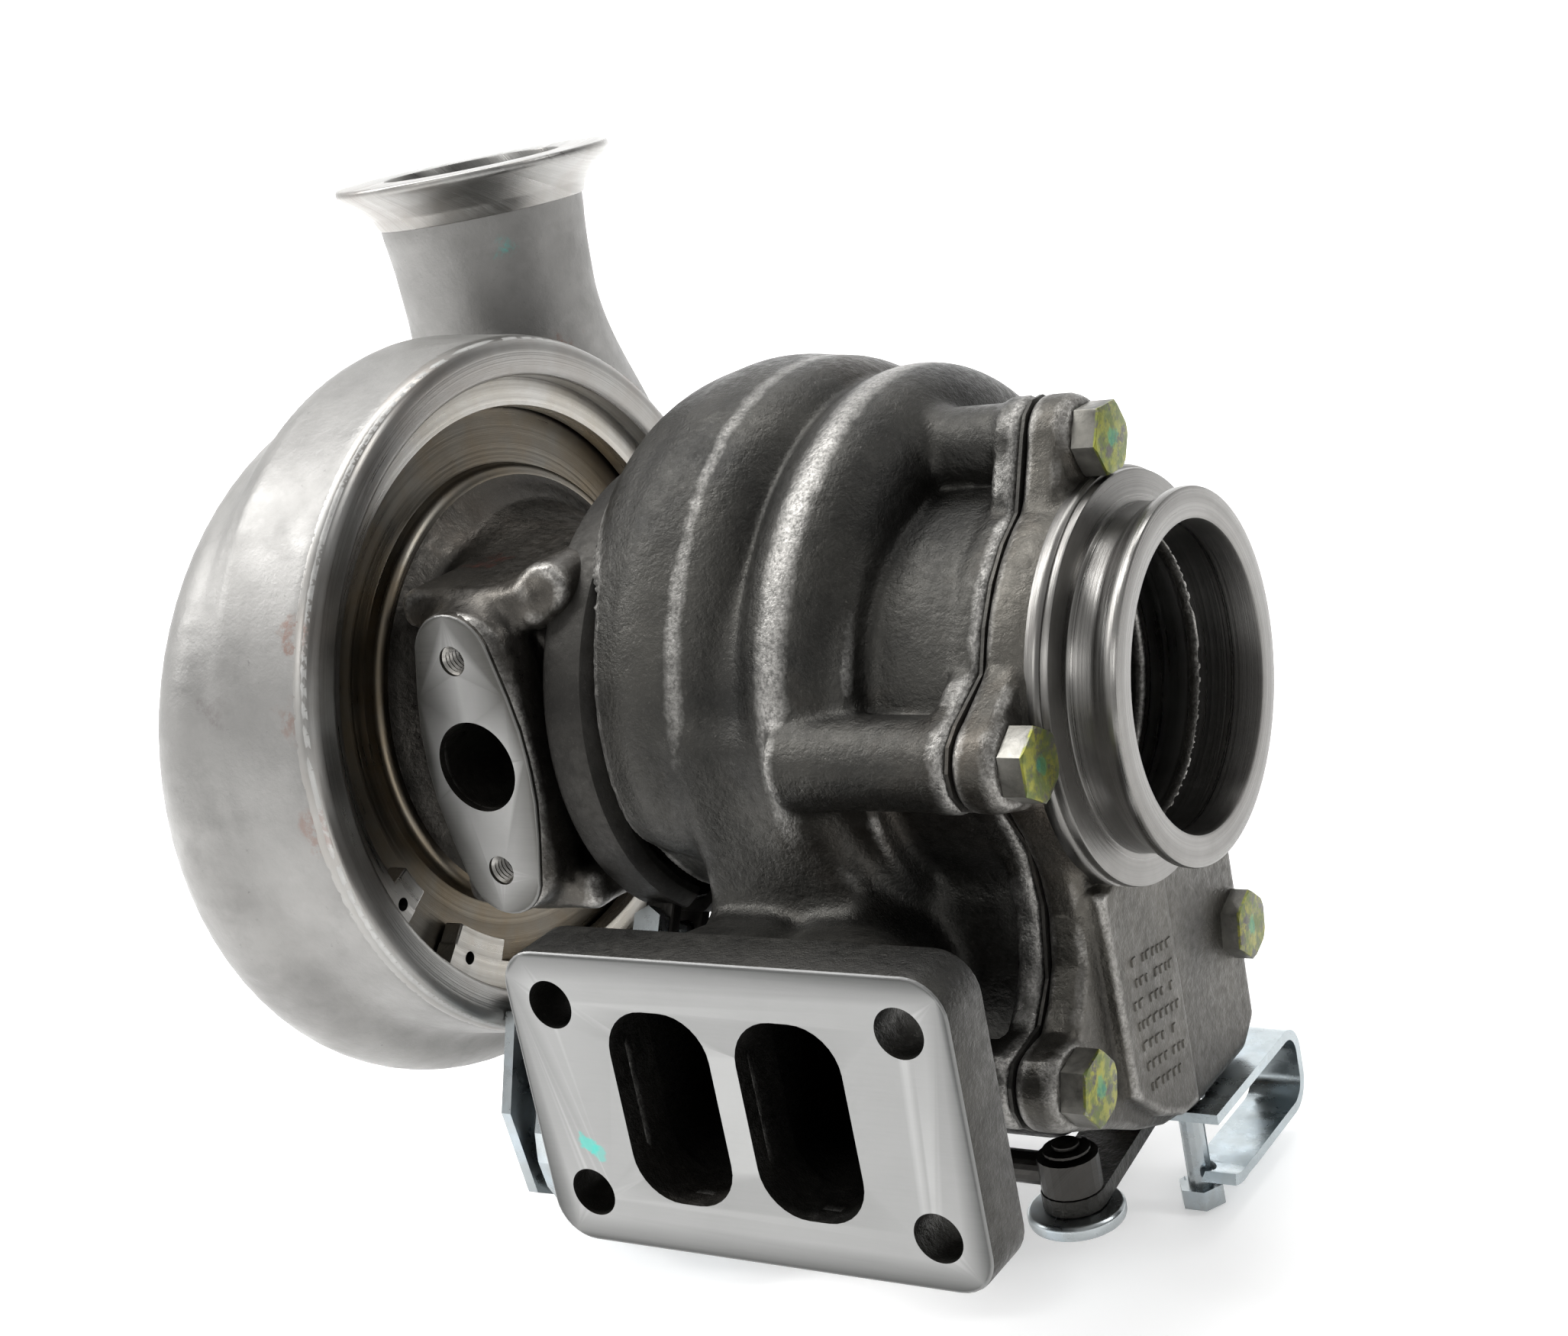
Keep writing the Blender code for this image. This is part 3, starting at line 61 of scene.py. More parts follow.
class Casting:
    """A solid as distances on a grid: shapes are blended in with fillets, then others are cut away."""

    def __init__(self, low, high, step):
        self.low, self.step = np.array(low, float), step
        count = [int(math.ceil((high[i] - low[i]) / step)) + 1 for i in range(3)]
        self.axes = [(low[i] + step * np.arange(count[i])).astype(np.float32) for i in range(3)]
        self.field = np.full(count, 40.0, np.float32)

    def window(self, low, high, margin):
        spans, parts = [], []
        for i in range(3):
            a = int(np.searchsorted(self.axes[i], low[i] - margin))
            b = int(np.searchsorted(self.axes[i], high[i] + margin))
            spans.append(slice(a, max(b, a)))
            shape = [1, 1, 1]
            shape[i] = -1
            parts.append(self.axes[i][a:max(b, a)].reshape(shape))
        return tuple(spans), parts

    def add(self, shape, low, high, blend=0.0):
        spans, parts = self.window(low, high, blend + 3 * self.step)
        if all(part.size for part in parts):
            self.field[spans] = smooth_min(self.field[spans], shape(*parts), blend)

    def cut(self, shape, low, high, blend=0.0):
        spans, parts = self.window(low, high, blend + 3 * self.step)
        if all(part.size for part in parts):
            self.field[spans] = -smooth_min(-self.field[spans], shape(*parts), blend)

    def mesh(self, name, painted_highlight_ridges=()):
        """The surface, with a per-point attribute that is high on convex edges and along the given ridge lines and
        below zero in hollows: the finishes paint a highlight (partly edge wear) where it is high and paint shade where
        it is low.
        """
        points, quads = surface(self.field, self.low, self.step)
        thing = make(name, points, quads)
        # High on convex edges, below zero in hollows: drives a painted highlight (partly edge wear) and painted shade
        # in the hollows.
        wear_and_painted_light = np.clip((0.5 - self.filled_share(points)) / 0.22, -1, 1)
        # Raised along the ridge lines, for a painted highlight streak on the crests.
        for line, width in painted_highlight_ridges:
            gap = np.full(len(points), 1e9)
            for spot in line:
                gap = np.minimum(gap, ((points - spot) ** 2).sum(axis=1))
            wear_and_painted_light = np.maximum(wear_and_painted_light, np.exp(-gap / width**2))
        thing.data.attributes.new("wear_and_painted_light", "FLOAT", "POINT").data.foreach_set("value", wear_and_painted_light.astype(np.float32))
        return thing

    def filled_share(self, points, reach=3.2):
        """How much of the small cube about each point is metal: a half on a flat, less on an edge, more in a corner."""
        share = np.clip(0.5 - self.field / (2 * self.step), 0, 1).astype(np.float64)
        side = max(1, int(round(reach / self.step)))
        for axis in range(3):
            padding = [(0, 0)] * 3
            padding[axis] = (side + 1, side)
            total = np.cumsum(np.pad(share, padding, mode="edge"), axis=axis)
            head, tail = [slice(None)] * 3, [slice(None)] * 3
            head[axis], tail[axis] = slice(2 * side + 1, None), slice(0, -2 * side - 1)
            share = (total[tuple(head)] - total[tuple(tail)]) / (2 * side + 1)
        place = (points - self.low) / self.step
        first = np.clip(np.floor(place).astype(int), 0, np.array(share.shape) - 2)
        part = np.clip(place - first, 0, 1)
        result = np.zeros(len(points))
        for corner in np.ndindex(2, 2, 2):
            weight = np.prod(np.where(np.array(corner), part, 1 - part), axis=1)
            result += weight * share[tuple((first + corner).T)]
        return result


def surface(field, low, step):
    """Quads round the zero level of a grid of distances, one point per cell that the level crosses."""
    field = np.pad(field, 1, constant_values=5.0)
    low = low - step
    inside = field < 0
    size = np.array(field.shape) - 1
    count = np.zeros(size, np.int8)
    for corner in np.ndindex(2, 2, 2):
        count += inside[tuple(slice(c, c + s) for c, s in zip(corner, size))]
    cells = np.argwhere((count > 0) & (count < 8))
    number = np.full(size, -1, np.int64)
    number[tuple(cells.T)] = np.arange(len(cells))
    total = np.zeros((len(cells), 3))
    hits = np.zeros(len(cells))
    for axis in range(3):
        others = [i for i in range(3) if i != axis]
        for pair in np.ndindex(2, 2):
            first = np.zeros(3, int)
            first[others] = pair
            second = first.copy()
            second[axis] = 1
            a = field[tuple((cells + first).T)].astype(float)
            b = field[tuple((cells + second).T)].astype(float)
            crossed = (a < 0) != (b < 0)
            share = np.where(crossed, a / np.where(crossed, a - b, 1), 0)
            spot = np.tile(first.astype(float), (len(cells), 1))
            spot[:, axis] += share
            total[crossed] += spot[crossed]
            hits[crossed] += 1
    points = low + step * (cells + total / hits[:, None])
    quads = []
    for axis in range(3):
        b, c = [(1, 2), (2, 0), (0, 1)][axis]
        head = [slice(None)] * 3
        tail = [slice(None)] * 3
        head[axis], tail[axis] = slice(0, -1), slice(1, None)
        change = inside[tuple(head)] != inside[tuple(tail)]
        edges = np.argwhere(change)
        edges = edges[(edges[:, b] > 0) & (edges[:, c] > 0)]
        edges = edges[(edges[:, b] < size[b]) & (edges[:, c] < size[c])]
        step_b, step_c = np.eye(3, dtype=int)[b], np.eye(3, dtype=int)[c]
        ring = [edges - step_b - step_c, edges - step_c, edges, edges - step_b]
        quad = np.stack([number[tuple(r.T)] for r in ring], axis=1)
        flip = ~inside[tuple(edges.T)]
        quad[flip] = quad[flip][:, ::-1]
        quads.append(quad)
    return points, np.concatenate(quads)


def rod(start, end, r0, r1):
    """A straight run of round section from radius r0 to r1."""
    a, along = np.array(start, float), np.array(end, float) - np.array(start, float)
    square = float(along @ along) or 1.0

    def shape(x, y, z):
        share = np.clip(((x - a[0]) * along[0] + (y - a[1]) * along[1] + (z - a[2]) * along[2]) / square, 0, 1)
        gap = np.sqrt((x - a[0] - share * along[0]) ** 2 + (y - a[1] - share * along[1]) ** 2
                      + (z - a[2] - share * along[2]) ** 2)
        return gap - (r0 + (r1 - r0) * share)

    reach = max(r0, r1)
    return shape, np.minimum(start, end) - reach, np.maximum(start, end) + reach


def pipe_run(casting, centres, radii, blend, cut=False):
    for a, b, r0, r1 in zip(centres[:-1], centres[1:], radii[:-1], radii[1:]):
        shape, low, high = rod(a, b, r0, r1)
        (casting.cut if cut else casting.add)(shape, low, high, blend)


def cylinder(axis, centre, radius, start, end, ease=1.0):
    """A bar along an axis with its edges eased."""
    others = [i for i in range(3) if i != axis]

    def shape(*place):
        across = np.sqrt((place[others[0]] - centre[0]) ** 2 + (place[others[1]] - centre[1]) ** 2) - radius + ease
        along = np.abs(place[axis] - (start + end) / 2) - (end - start) / 2 + ease
        outside = np.sqrt(np.maximum(across, 0) ** 2 + np.maximum(along, 0) ** 2)
        return outside + np.minimum(np.maximum(across, along), 0) - ease

    low, high = [0.0] * 3, [0.0] * 3
    low[axis], high[axis] = start, end
    for i, c in zip(others, centre):
        low[i], high[i] = c - radius, c + radius
    return shape, low, high


def block(low, high, ease=2.0):
    low, high = np.array(low, float), np.array(high, float)
    middle, half = (low + high) / 2, (high - low) / 2 - ease

    def shape(x, y, z):
        q = [np.abs(v - m) - h for v, m, h in zip((x, y, z), middle, half)]
        outside = np.sqrt(sum(np.maximum(v, 0) ** 2 for v in q))
        return outside + np.minimum(np.maximum(np.maximum(q[0], q[1]), q[2]), 0) - ease

    return shape, low, high


def outline_distance(outline, u, v):
    """Signed distance from points (u, v) to a closed outline, negative inside."""
    outline = np.array(outline, float)
    best = np.full(np.broadcast(u, v).shape, 1e9)
    inside = np.zeros(best.shape, bool)
    for (ax, ay), (bx, by) in zip(outline, np.roll(outline, -1, axis=0)):
        ex, ey = bx - ax, by - ay
        share = np.clip(((u - ax) * ex + (v - ay) * ey) / (ex * ex + ey * ey or 1), 0, 1)
        best = np.minimum(best, (u - ax - share * ex) ** 2 + (v - ay - share * ey) ** 2)
        if ay != by:
            inside ^= ((ay > v) != (by > v)) & (u < (bx - ax) * (v - ay) / (by - ay) + ax)
    return np.where(inside, -1, 1) * np.sqrt(best)


def slab(outline, axis, start, end, ease=1.5):
    """An outline drawn out along an axis, its edges eased. Outline pairs follow the other two axes."""
    others = [i for i in range(3) if i != axis]
    outline = np.array(outline, float)

    def shape(*place):
        flat = outline_distance(outline, place[others[0]], place[others[1]]) + ease
        along = np.abs(place[axis] - (start + end) / 2) - (end - start) / 2 + ease
        outside = np.sqrt(np.maximum(flat, 0) ** 2 + np.maximum(along, 0) ** 2)
        return outside + np.minimum(np.maximum(flat, along), 0) - ease

    low, high = [0.0] * 3, [0.0] * 3
    low[axis], high[axis] = start, end
    for number, i in enumerate(others):
        low[i], high[i] = outline[:, number].min(), outline[:, number].max()
    return shape, low, high


def turned_field(profile):
    """A solid of revolution about the shaft from an open (x, radius) profile closed on the axis."""
    outline = [(profile[0][0], -50.0)] + list(profile) + [(profile[-1][0], -50.0)]
    xs = [p[0] for p in profile]
    reach = max(p[1] for p in profile)

    def shape(x, y, z):
        radius = np.sqrt((y - SHAFT[0]) ** 2 + (z - SHAFT[1]) ** 2)
        table_x = np.arange(min(xs) - 24, max(xs) + 24, 0.5)
        table_r = np.arange(0, radius.max() + 2, 0.5)
        table = outline_distance(outline, table_x[:, None], table_r[None, :])
        i = np.clip((x - table_x[0]) / 0.5, 0, len(table_x) - 1.001) + 0 * radius
        j = np.clip(radius / 0.5, 0, len(table_r) - 1.001) + 0 * x
        i0, j0 = i.astype(int), j.astype(int)
        u, v = i - i0, j - j0
        return (table[i0, j0] * (1 - u) * (1 - v) + table[i0 + 1, j0] * u * (1 - v)
                + table[i0, j0 + 1] * (1 - u) * v + table[i0 + 1, j0 + 1] * u * v)

    low = (min(xs), SHAFT[0] - reach, SHAFT[1] - reach)
    high = (max(xs), SHAFT[0] + reach, SHAFT[1] + reach)
    return shape, low, high


def leg(ys, xs, zs, half_x, half_z, corner):
    """A duct that runs along Y with a rounded rectangular section that changes on the way."""
    def shape(x, y, z):
        line = y.ravel()
        take = lambda values: np.interp(line, ys, values).reshape(y.shape)
        round_off = take(corner)
        a = np.abs(x - take(xs)) - take(half_x) + round_off
        b = np.abs(z - take(zs)) - take(half_z) + round_off
        flat = np.sqrt(np.maximum(a, 0) ** 2 + np.maximum(b, 0) ** 2) + np.minimum(np.maximum(a, b), 0) - round_off
        return np.maximum(flat, np.maximum(ys[0] - y, y - ys[-1]))

    low = (min(np.array(xs) - half_x), ys[0], min(np.array(zs) - half_z))
    high = (max(np.array(xs) + half_x), ys[-1], max(np.array(zs) + half_z))
    return shape, low, high


# ---------------------------------------------------------------- crisp pieces


def make(name, points, faces, finish=None):
    mesh = bpy.data.meshes.new(name)
    points, faces = np.asarray(points, np.float64) * MM, np.asarray(faces)
    mesh.vertices.add(len(points))
    mesh.vertices.foreach_set("co", points.ravel())
    mesh.loops.add(faces.size)
    mesh.loops.foreach_set("vertex_index", faces.ravel())
    mesh.polygons.add(len(faces))
    mesh.polygons.foreach_set("loop_start", np.arange(0, faces.size, faces.shape[1]))
    mesh.update(calc_edges=True)
    mesh.validate()
    mesh.shade_smooth()
    thing = bpy.data.objects.new(name, mesh)
    bpy.context.scene.collection.objects.link(thing)
    if finish:
        mesh.materials.append(finish)
    return thing


def axes_of(axis):
    return {"X": ((0, 1, 0), (0, 0, 1), (1, 0, 0)), "Y": ((0, 0, 1), (1, 0, 0), (0, 1, 0)),
            "Z": ((1, 0, 0), (0, 1, 0), (0, 0, 1))}[axis]


def eased(profile, ease, closed):
    """The profile with each corner cut twice, so that turned edges catch the light."""
    made = []
    count = len(profile)
    for i, here in enumerate(profile):
        here = np.array(here, float)
        if not closed and i in (0, count - 1):
            made.append(here)
            continue
        before, after = np.array(profile[i - 1], float), np.array(profile[(i + 1) % count], float)
        to_before, to_after = before - here, after - here
        length_a, length_b = np.linalg.norm(to_before), np.linalg.norm(to_after)
        cut = min(ease, length_a * 0.4, length_b * 0.4)
        a, b = here + to_before / length_a * cut, here + to_after / length_b * cut
        made += [a, (a + b + 2 * here) / 4, b]
    return made


def lathe(name, profile, finish, axis="X", centre=(0, *SHAFT), sides=160, ease=0.5, ring=False):
    profile = eased(profile, ease, ring)
    across, over, along = (np.array(v, float) for v in axes_of(axis))
    turn = math.tau * np.arange(sides) / sides
    rings = []
    for place, radius in profile:
        rings.append(np.array(centre) + along * place + radius * (np.cos(turn)[:, None] * across
                                                                  + np.sin(turn)[:, None] * over))
    points = np.concatenate(rings)
    faces = []
    here = np.arange(sides)
    rows = len(rings) if ring else len(rings) - 1
    for row in range(rows):
        below = (row + 1) % len(rings)
        faces.append(np.stack([row * sides + here, row * sides + (here + 1) % sides,
                               below * sides + (here + 1) % sides, below * sides + here], axis=1))
    thing = make(name, points, np.concatenate(faces), finish)
    work = bmesh.new()
    work.from_mesh(thing.data)
    if not ring:
        bmesh.ops.holes_fill(work, edges=[e for e in work.edges if e.is_boundary], sides=0)
    bmesh.ops.recalc_face_normals(work, faces=work.faces)
    work.to_mesh(thing.data)
    work.free()
    thing.data.set_sharp_from_angle(angle=math.radians(32))
    return thing


def prism(name, outline, start, end, axis="X", centre=(0, 0, 0), finish=None):
    order = {"X": lambda u, v, w: (w, u, v), "Y": lambda u, v, w: (u, w, v), "Z": lambda u, v, w: (u, v, w)}[axis]
    points = [np.array(centre) + order(u, v, w) for w in (start, end) for u, v in outline]
    count = len(outline)
    work = bmesh.new()
    corners = [work.verts.new(p * MM) for p in points]
    work.faces.new(corners[:count])
    work.faces.new(corners[count:])
    for i in range(count):
        j = (i + 1) % count
        work.faces.new((corners[i], corners[j], corners[count + j], corners[count + i]))
    bmesh.ops.recalc_face_normals(work, faces=work.faces)
    mesh = bpy.data.meshes.new(name)
    work.to_mesh(mesh)
    work.free()
    thing = bpy.data.objects.new(name, mesh)
    bpy.context.scene.collection.objects.link(thing)
    if finish:
        mesh.materials.append(finish)
    return thing


def arc(centre, radius, start, end, steps):
    turn = [math.radians(start + (end - start) * i / steps) for i in range(steps + 1)]
    return [(centre[0] + radius * math.cos(t), centre[1] + radius * math.sin(t)) for t in turn]


def rounded(centre, half, radius, steps=8):
    made = []
    for side_u, side_v, start in ((1, 1, 0), (-1, 1, 90), (-1, -1, 180), (1, -1, 270)):
        corner = (centre[0] + side_u * (half[0] - radius), centre[1] + side_v * (half[1] - radius))
        made += arc(corner, radius, start, start + 90, steps)
    return made


def settle(thing, modifiers):
    """Runs the modifiers that are on an object and keeps the result as its mesh."""
    for kind, settings in modifiers:
        added = thing.modifiers.new(kind, kind)
        for key, value in settings.items():
            setattr(added, key, value)
    bpy.context.view_layer.update()
    result = bpy.data.meshes.new_from_object(thing.evaluated_get(bpy.context.evaluated_depsgraph_get()))
    thing.modifiers.clear()
    thing.data = result
    result.shade_smooth()
    result.set_sharp_from_angle(angle=math.radians(20))
    return thing


def carve(thing, others, operation="DIFFERENCE"):
    settle(thing, [("BOOLEAN", {"operation": operation, "solver": "EXACT", "object": other}) for other in others])
    for other in others:
        bpy.data.objects.remove(other, do_unlink=True)
    return thing


def bevel(thing, width, steps=2, angle=35):
    settle(thing, [("BEVEL", {"width": width * MM, "segments": steps, "limit_method": "ANGLE",
                              "angle_limit": math.radians(angle), "harden_normals": False})])
    thing.data.set_sharp_from_angle(angle=math.radians(13))
    return thing


def bar(name, start, end, radius, axis, centre, sides=48, finish=None):
    return prism(name, arc((0, 0), radius, 0, 360 - 360 / sides, sides - 1), start, end, axis, centre, finish)


def on_circle(radius, degrees, x=0.0):
    angle = math.radians(degrees)
    return np.array((x, SHAFT[0] - radius * math.cos(angle), SHAFT[1] + radius * math.sin(angle)))


# ---------------------------------------------------------------- finishes


class Shader:
    """Builds one node material step by step."""

    def __init__(self, name, metallic=1.0):
        self.made = bpy.data.materials.new(name)
        self.made.use_nodes = True
        self.tree = self.made.node_tree
        self.out = self.tree.nodes["Principled BSDF"]
        self.out.inputs["Metallic"].default_value = metallic
        place = self.tree.nodes.new("ShaderNodeTexCoord")
        self.place = place.outputs["Object"]

    def node(self, kind, inputs=None, **settings):
        made = self.tree.nodes.new(kind)
        for key, value in settings.items():
            setattr(made, key, value)
        for key, value in (inputs or {}).items():
            self.put(made.inputs[key], value)
        return made

    def put(self, socket, value):
        if isinstance(value, bpy.types.NodeSocket):
            self.tree.links.new(value, socket)
        else:
            socket.default_value = value

    def noise(self, scale, detail=4.0, rough=0.6, vector=None):
        return self.node("ShaderNodeTexNoise", {"Vector": vector or self.place, "Scale": scale, "Detail": detail,
                                                "Roughness": rough}).outputs["Fac"]

    def spread(self, value, low, high, to_low=0.0, to_high=1.0):
        return self.node("ShaderNodeMapRange", {"Value": value, "From Min": low, "From Max": high,
                                                "To Min": to_low, "To Max": to_high}).outputs["Result"]

    def maths(self, operation, a, b=0.0, clamp=False):
        return self.node("ShaderNodeMath", {0: a, 1: b}, operation=operation, use_clamp=clamp).outputs[0]

    def mix(self, share, a, b):
        made = self.node("ShaderNodeMix", {0: share}, data_type="RGBA")
        for number, value in ((6, a), (7, b)):
            self.put(made.inputs[number], value if isinstance(value, bpy.types.NodeSocket) else (*value, 1.0))
        return made.outputs[2]

    def near(self, centre, radius, ragged=0.5, scale=220.0):
        """1 inside a ragged patch about a point in millimetres, fading to 0 outside it."""
        shift = self.node("ShaderNodeVectorMath", {0: self.place, 1: Vector(centre) * MM}, operation="SUBTRACT")
        size = self.node("ShaderNodeVectorMath", {0: shift.outputs[0]}, operation="LENGTH").outputs["Value"]
        wobble = self.maths("MULTIPLY", self.maths("SUBTRACT", self.noise(scale), 0.5), ragged * radius * MM * 4)
        return self.spread(self.maths("ADD", size, wobble), radius * MM, radius * MM * 0.6)

    def round_shaft(self, across=0.0, along=0.0):
        """Distance from the shaft and place along it, mixed into one number that turned marks follow."""
        shift = self.node("ShaderNodeVectorMath", {0: self.place, 1: Vector((0, *SHAFT)) * MM},
                          operation="SUBTRACT").outputs[0]
        flat = self.node("ShaderNodeVectorMath", {0: shift, 1: (0, 1, 1)}, operation="MULTIPLY").outputs[0]
        radius = self.node("ShaderNodeVectorMath", {0: flat}, operation="LENGTH").outputs["Value"]
        x = self.node("ShaderNodeSeparateXYZ", {0: self.place}).outputs["X"]
        return self.maths("ADD", self.maths("MULTIPLY", radius, across), self.maths("MULTIPLY", x, along))

    def line_noise(self, value, scale, detail=3.0):
        return self.node("ShaderNodeTexNoise", {"W": value, "Scale": scale, "Detail": detail, "Roughness": 0.7},
                         noise_dimensions="1D").outputs["Fac"]

    def finish(self, colour, rough, bumps=()):
        self.put(self.out.inputs["Base Color"], colour)
        self.put(self.out.inputs["Roughness"], rough)
        normal = None
        for height, strength, depth in bumps:
            made = self.node("ShaderNodeBump", {"Height": height, "Strength": strength, "Distance": depth * MM})
            if normal is not None:
                self.put(made.inputs["Normal"], normal)
            normal = made.outputs["Normal"]
        if normal is not None:
            self.put(self.out.inputs["Normal"], normal)
        return self.made

    # Pointiness as 0..1, high on convex edges; the finishes use it for a painted edge highlight.
    def edges(self, low=0.5, high=0.56):
        return self.spread(self.node("ShaderNodeNewGeometry").outputs["Pointiness"], low, high)


def sand_cast(name, dark, light, rough=0.5, grain=1.0, dabs=(), metallic=0.85, painted_crest_highlight=(0.4, 0.39, 0.37)):
    """Sand-cast metal: fine grain and rust-tinged stains, with painted glints, a grainy painted highlight on crests and
    convex edges (partly edge wear) and painted shade in the hollows.
    """
    s = Shader(name, metallic)
    blotch = s.spread(s.noise(28.0, 5.0), 0.35, 0.68)
    fine = s.noise(1150.0, 3.0, 0.7)
    medium = s.noise(420.0, 4.0, 0.65)
    colour = s.mix(blotch, dark, light)
    # Painted glints: random fine specks lightened towards a bright grey.
    painted_glint = s.spread(fine, 0.6, 0.74)
    colour = s.mix(s.maths("MULTIPLY", painted_glint, 0.3), colour, [min(1, c * 2.2) for c in light])
    stain = s.spread(s.noise(11.0, 6.0, 0.7), 0.56, 0.74)
    colour = s.mix(s.maths("MULTIPLY", stain, 0.3), colour, [light[0] * 1.15, light[1] * 0.85, light[2] * 0.65])
    # Per-point value from the mesh: high on convex edges and lobe crests, below zero in hollows.
    wear_and_painted_light = s.node("ShaderNodeAttribute", attribute_name="wear_and_painted_light").outputs["Fac"]
    ragged = s.maths("ADD", wear_and_painted_light, s.maths("MULTIPLY", s.maths("SUBTRACT", s.noise(240.0, 4.0), 0.5), 0.5))
    painted_highlight_grain = s.spread(fine, 0.36, 0.6, 0.35, 1.0)
    # Painted highlight: crests and convex edges lightened, grainy, partly edge wear.
    colour = s.mix(s.maths("MULTIPLY", s.spread(ragged, 0.38, 0.95, 0.0, 0.85), painted_highlight_grain), colour, painted_crest_highlight)
    # Painted shade: hollows darkened.
    colour = s.mix(s.spread(ragged, -0.2, -0.75, 0.0, 0.65), colour, [c * 0.35 for c in dark])
    for centre, radius, tint, share in dabs:
        colour = s.mix(s.maths("MULTIPLY", s.near(centre, radius), share), colour, tint)
    roughness = s.spread(medium, 0.3, 0.7, rough - 0.1, rough + 0.14)
    bumps = [(s.noise(95.0, 3.0), 0.35, 1.2), (medium, 0.5 * grain, 0.5), (fine, 0.55 * grain, 0.28)]
    return s.finish(colour, roughness, bumps)


def satin_cast(name, base, dabs=()):
    """Shot-blasted cast aluminium: satin grey, with faint flow marks, stains, a painted highlight on convex edges
    (partly edge wear) and painted shade in the hollows.
    """
    s = Shader(name, 0.8)
    cloud = s.spread(s.noise(17.0, 6.0, 0.65), 0.32, 0.7)
    fine = s.noise(900.0, 4.0, 0.7)
    colour = s.mix(cloud, [c * 0.76 for c in base], [min(1, c * 1.14) for c in base])
    speck = s.spread(s.noise(310.0, 6.0, 0.8), 0.63, 0.71)
    colour = s.mix(s.maths("MULTIPLY", speck, 0.55), colour, [c * 0.3 for c in base])
    grey = s.spread(s.noise(46.0, 5.0, 0.7), 0.5, 0.7)
    colour = s.mix(s.maths("MULTIPLY", grey, 0.4), colour, [c * 0.55 for c in base])
    wear_and_painted_light = s.node("ShaderNodeAttribute", attribute_name="wear_and_painted_light").outputs["Fac"]
    # Painted highlight on convex edges (partly edge wear), lightened towards pale grey.
    colour = s.mix(s.spread(wear_and_painted_light, 0.3, 0.9, 0.0, 0.6), colour, (0.78, 0.78, 0.76))
    # Painted shade: hollows darkened.
    colour = s.mix(s.spread(wear_and_painted_light, -0.15, -0.7, 0.0, 0.6), colour, [c * 0.3 for c in base])
    for centre, radius, tint, share in dabs:
        patch = s.maths("MULTIPLY", s.near(centre, radius, 0.9, 120.0), s.spread(s.noise(380.0, 5.0, 0.75), 0.42, 0.56))
        colour = s.mix(s.maths("MULTIPLY", patch, share), colour, tint)
    roughness = s.spread(s.noise(60.0, 5.0), 0.3, 0.7, 0.38, 0.58)
    return s.finish(colour, roughness, [(s.noise(130.0, 4.0), 0.25, 0.7), (fine, 0.4, 0.2)])


def turned_metal(name, base, rough=0.28, tint=None, across=1.0, along=1.0, depth=0.12, metallic=1.0, marks=1500.0):
    """Turned metal: fine rings that follow the tool, streaky roughness, light oil and heat tints."""
    s = Shader(name, metallic)
    line = s.round_shaft(across, along)
    rings = s.line_noise(line, marks, 4.0)
    bands = s.line_noise(line, 260.0, 3.0)
    cloud = s.spread(s.noise(32.0, 5.0), 0.36, 0.7)
    colour = s.mix(cloud, [c * 0.86 for c in base], [min(1, c * 1.1) for c in base])
    colour = s.mix(s.spread(rings, 0.35, 0.7, 0.0, 0.35), colour, [c * 0.6 for c in base])
    if tint:
        colour = s.mix(s.spread(s.noise(20.0, 5.0, 0.7), 0.42, 0.62, 0.0, 0.6), colour, tint)
    speck = s.spread(s.noise(420.0, 5.0, 0.8), 0.67, 0.72)
    colour = s.mix(s.maths("MULTIPLY", speck, 0.5), colour, [c * 0.3 for c in base])
    roughness = s.maths("ADD", s.spread(bands, 0.3, 0.7, rough - 0.06, rough + 0.1), s.spread(cloud, 0, 1, 0, 0.08))
    return s.finish(colour, roughness, [(rings, 0.5, depth), (bands, 0.25, depth * 1.6), (s.noise(700.0), 0.1, 0.1)])


def ground_face(name, base, dabs=()):
    """A milled flat: straight fine cutter marks, small nicks, a dull bloom, and a painted highlight on its convex edges
    (partly edge wear).
    """
    s = Shader(name, 0.8)
    stretched = s.node("ShaderNodeMapping", {"Vector": s.place, "Scale": (40.0, 600.0, 900.0)}).outputs[0]
    marks = s.node("ShaderNodeTexNoise", {"Vector": stretched, "Scale": 1.6, "Detail": 3.0}).outputs["Fac"]
    cloud = s.spread(s.noise(30.0, 6.0, 0.7), 0.33, 0.7)
    colour = s.mix(cloud, [c * 0.8 for c in base], [min(1, c * 1.14) for c in base])
    colour = s.mix(s.spread(marks, 0.4, 0.68, 0.0, 0.3), colour, [c * 0.66 for c in base])
    speck = s.spread(s.noise(380.0, 5.0, 0.8), 0.655, 0.72)
    colour = s.mix(s.maths("MULTIPLY", speck, 0.6), colour, [c * 0.3 for c in base])
    # Painted highlight on convex edges (partly edge wear): lightened towards pale grey.
    edge = s.edges(0.52, 0.58)
    colour = s.mix(s.maths("MULTIPLY", edge, 0.4), colour, (0.7, 0.7, 0.69))
    for centre, radius, tint, share in dabs:
        colour = s.mix(s.maths("MULTIPLY", s.near(centre, radius, 0.7, 300.0), share), colour, tint)
    return s.finish(colour, s.spread(cloud, 0, 1, 0.36, 0.52), [(marks, 0.3, 0.1), (s.noise(260.0, 5.0), 0.3, 0.2)])


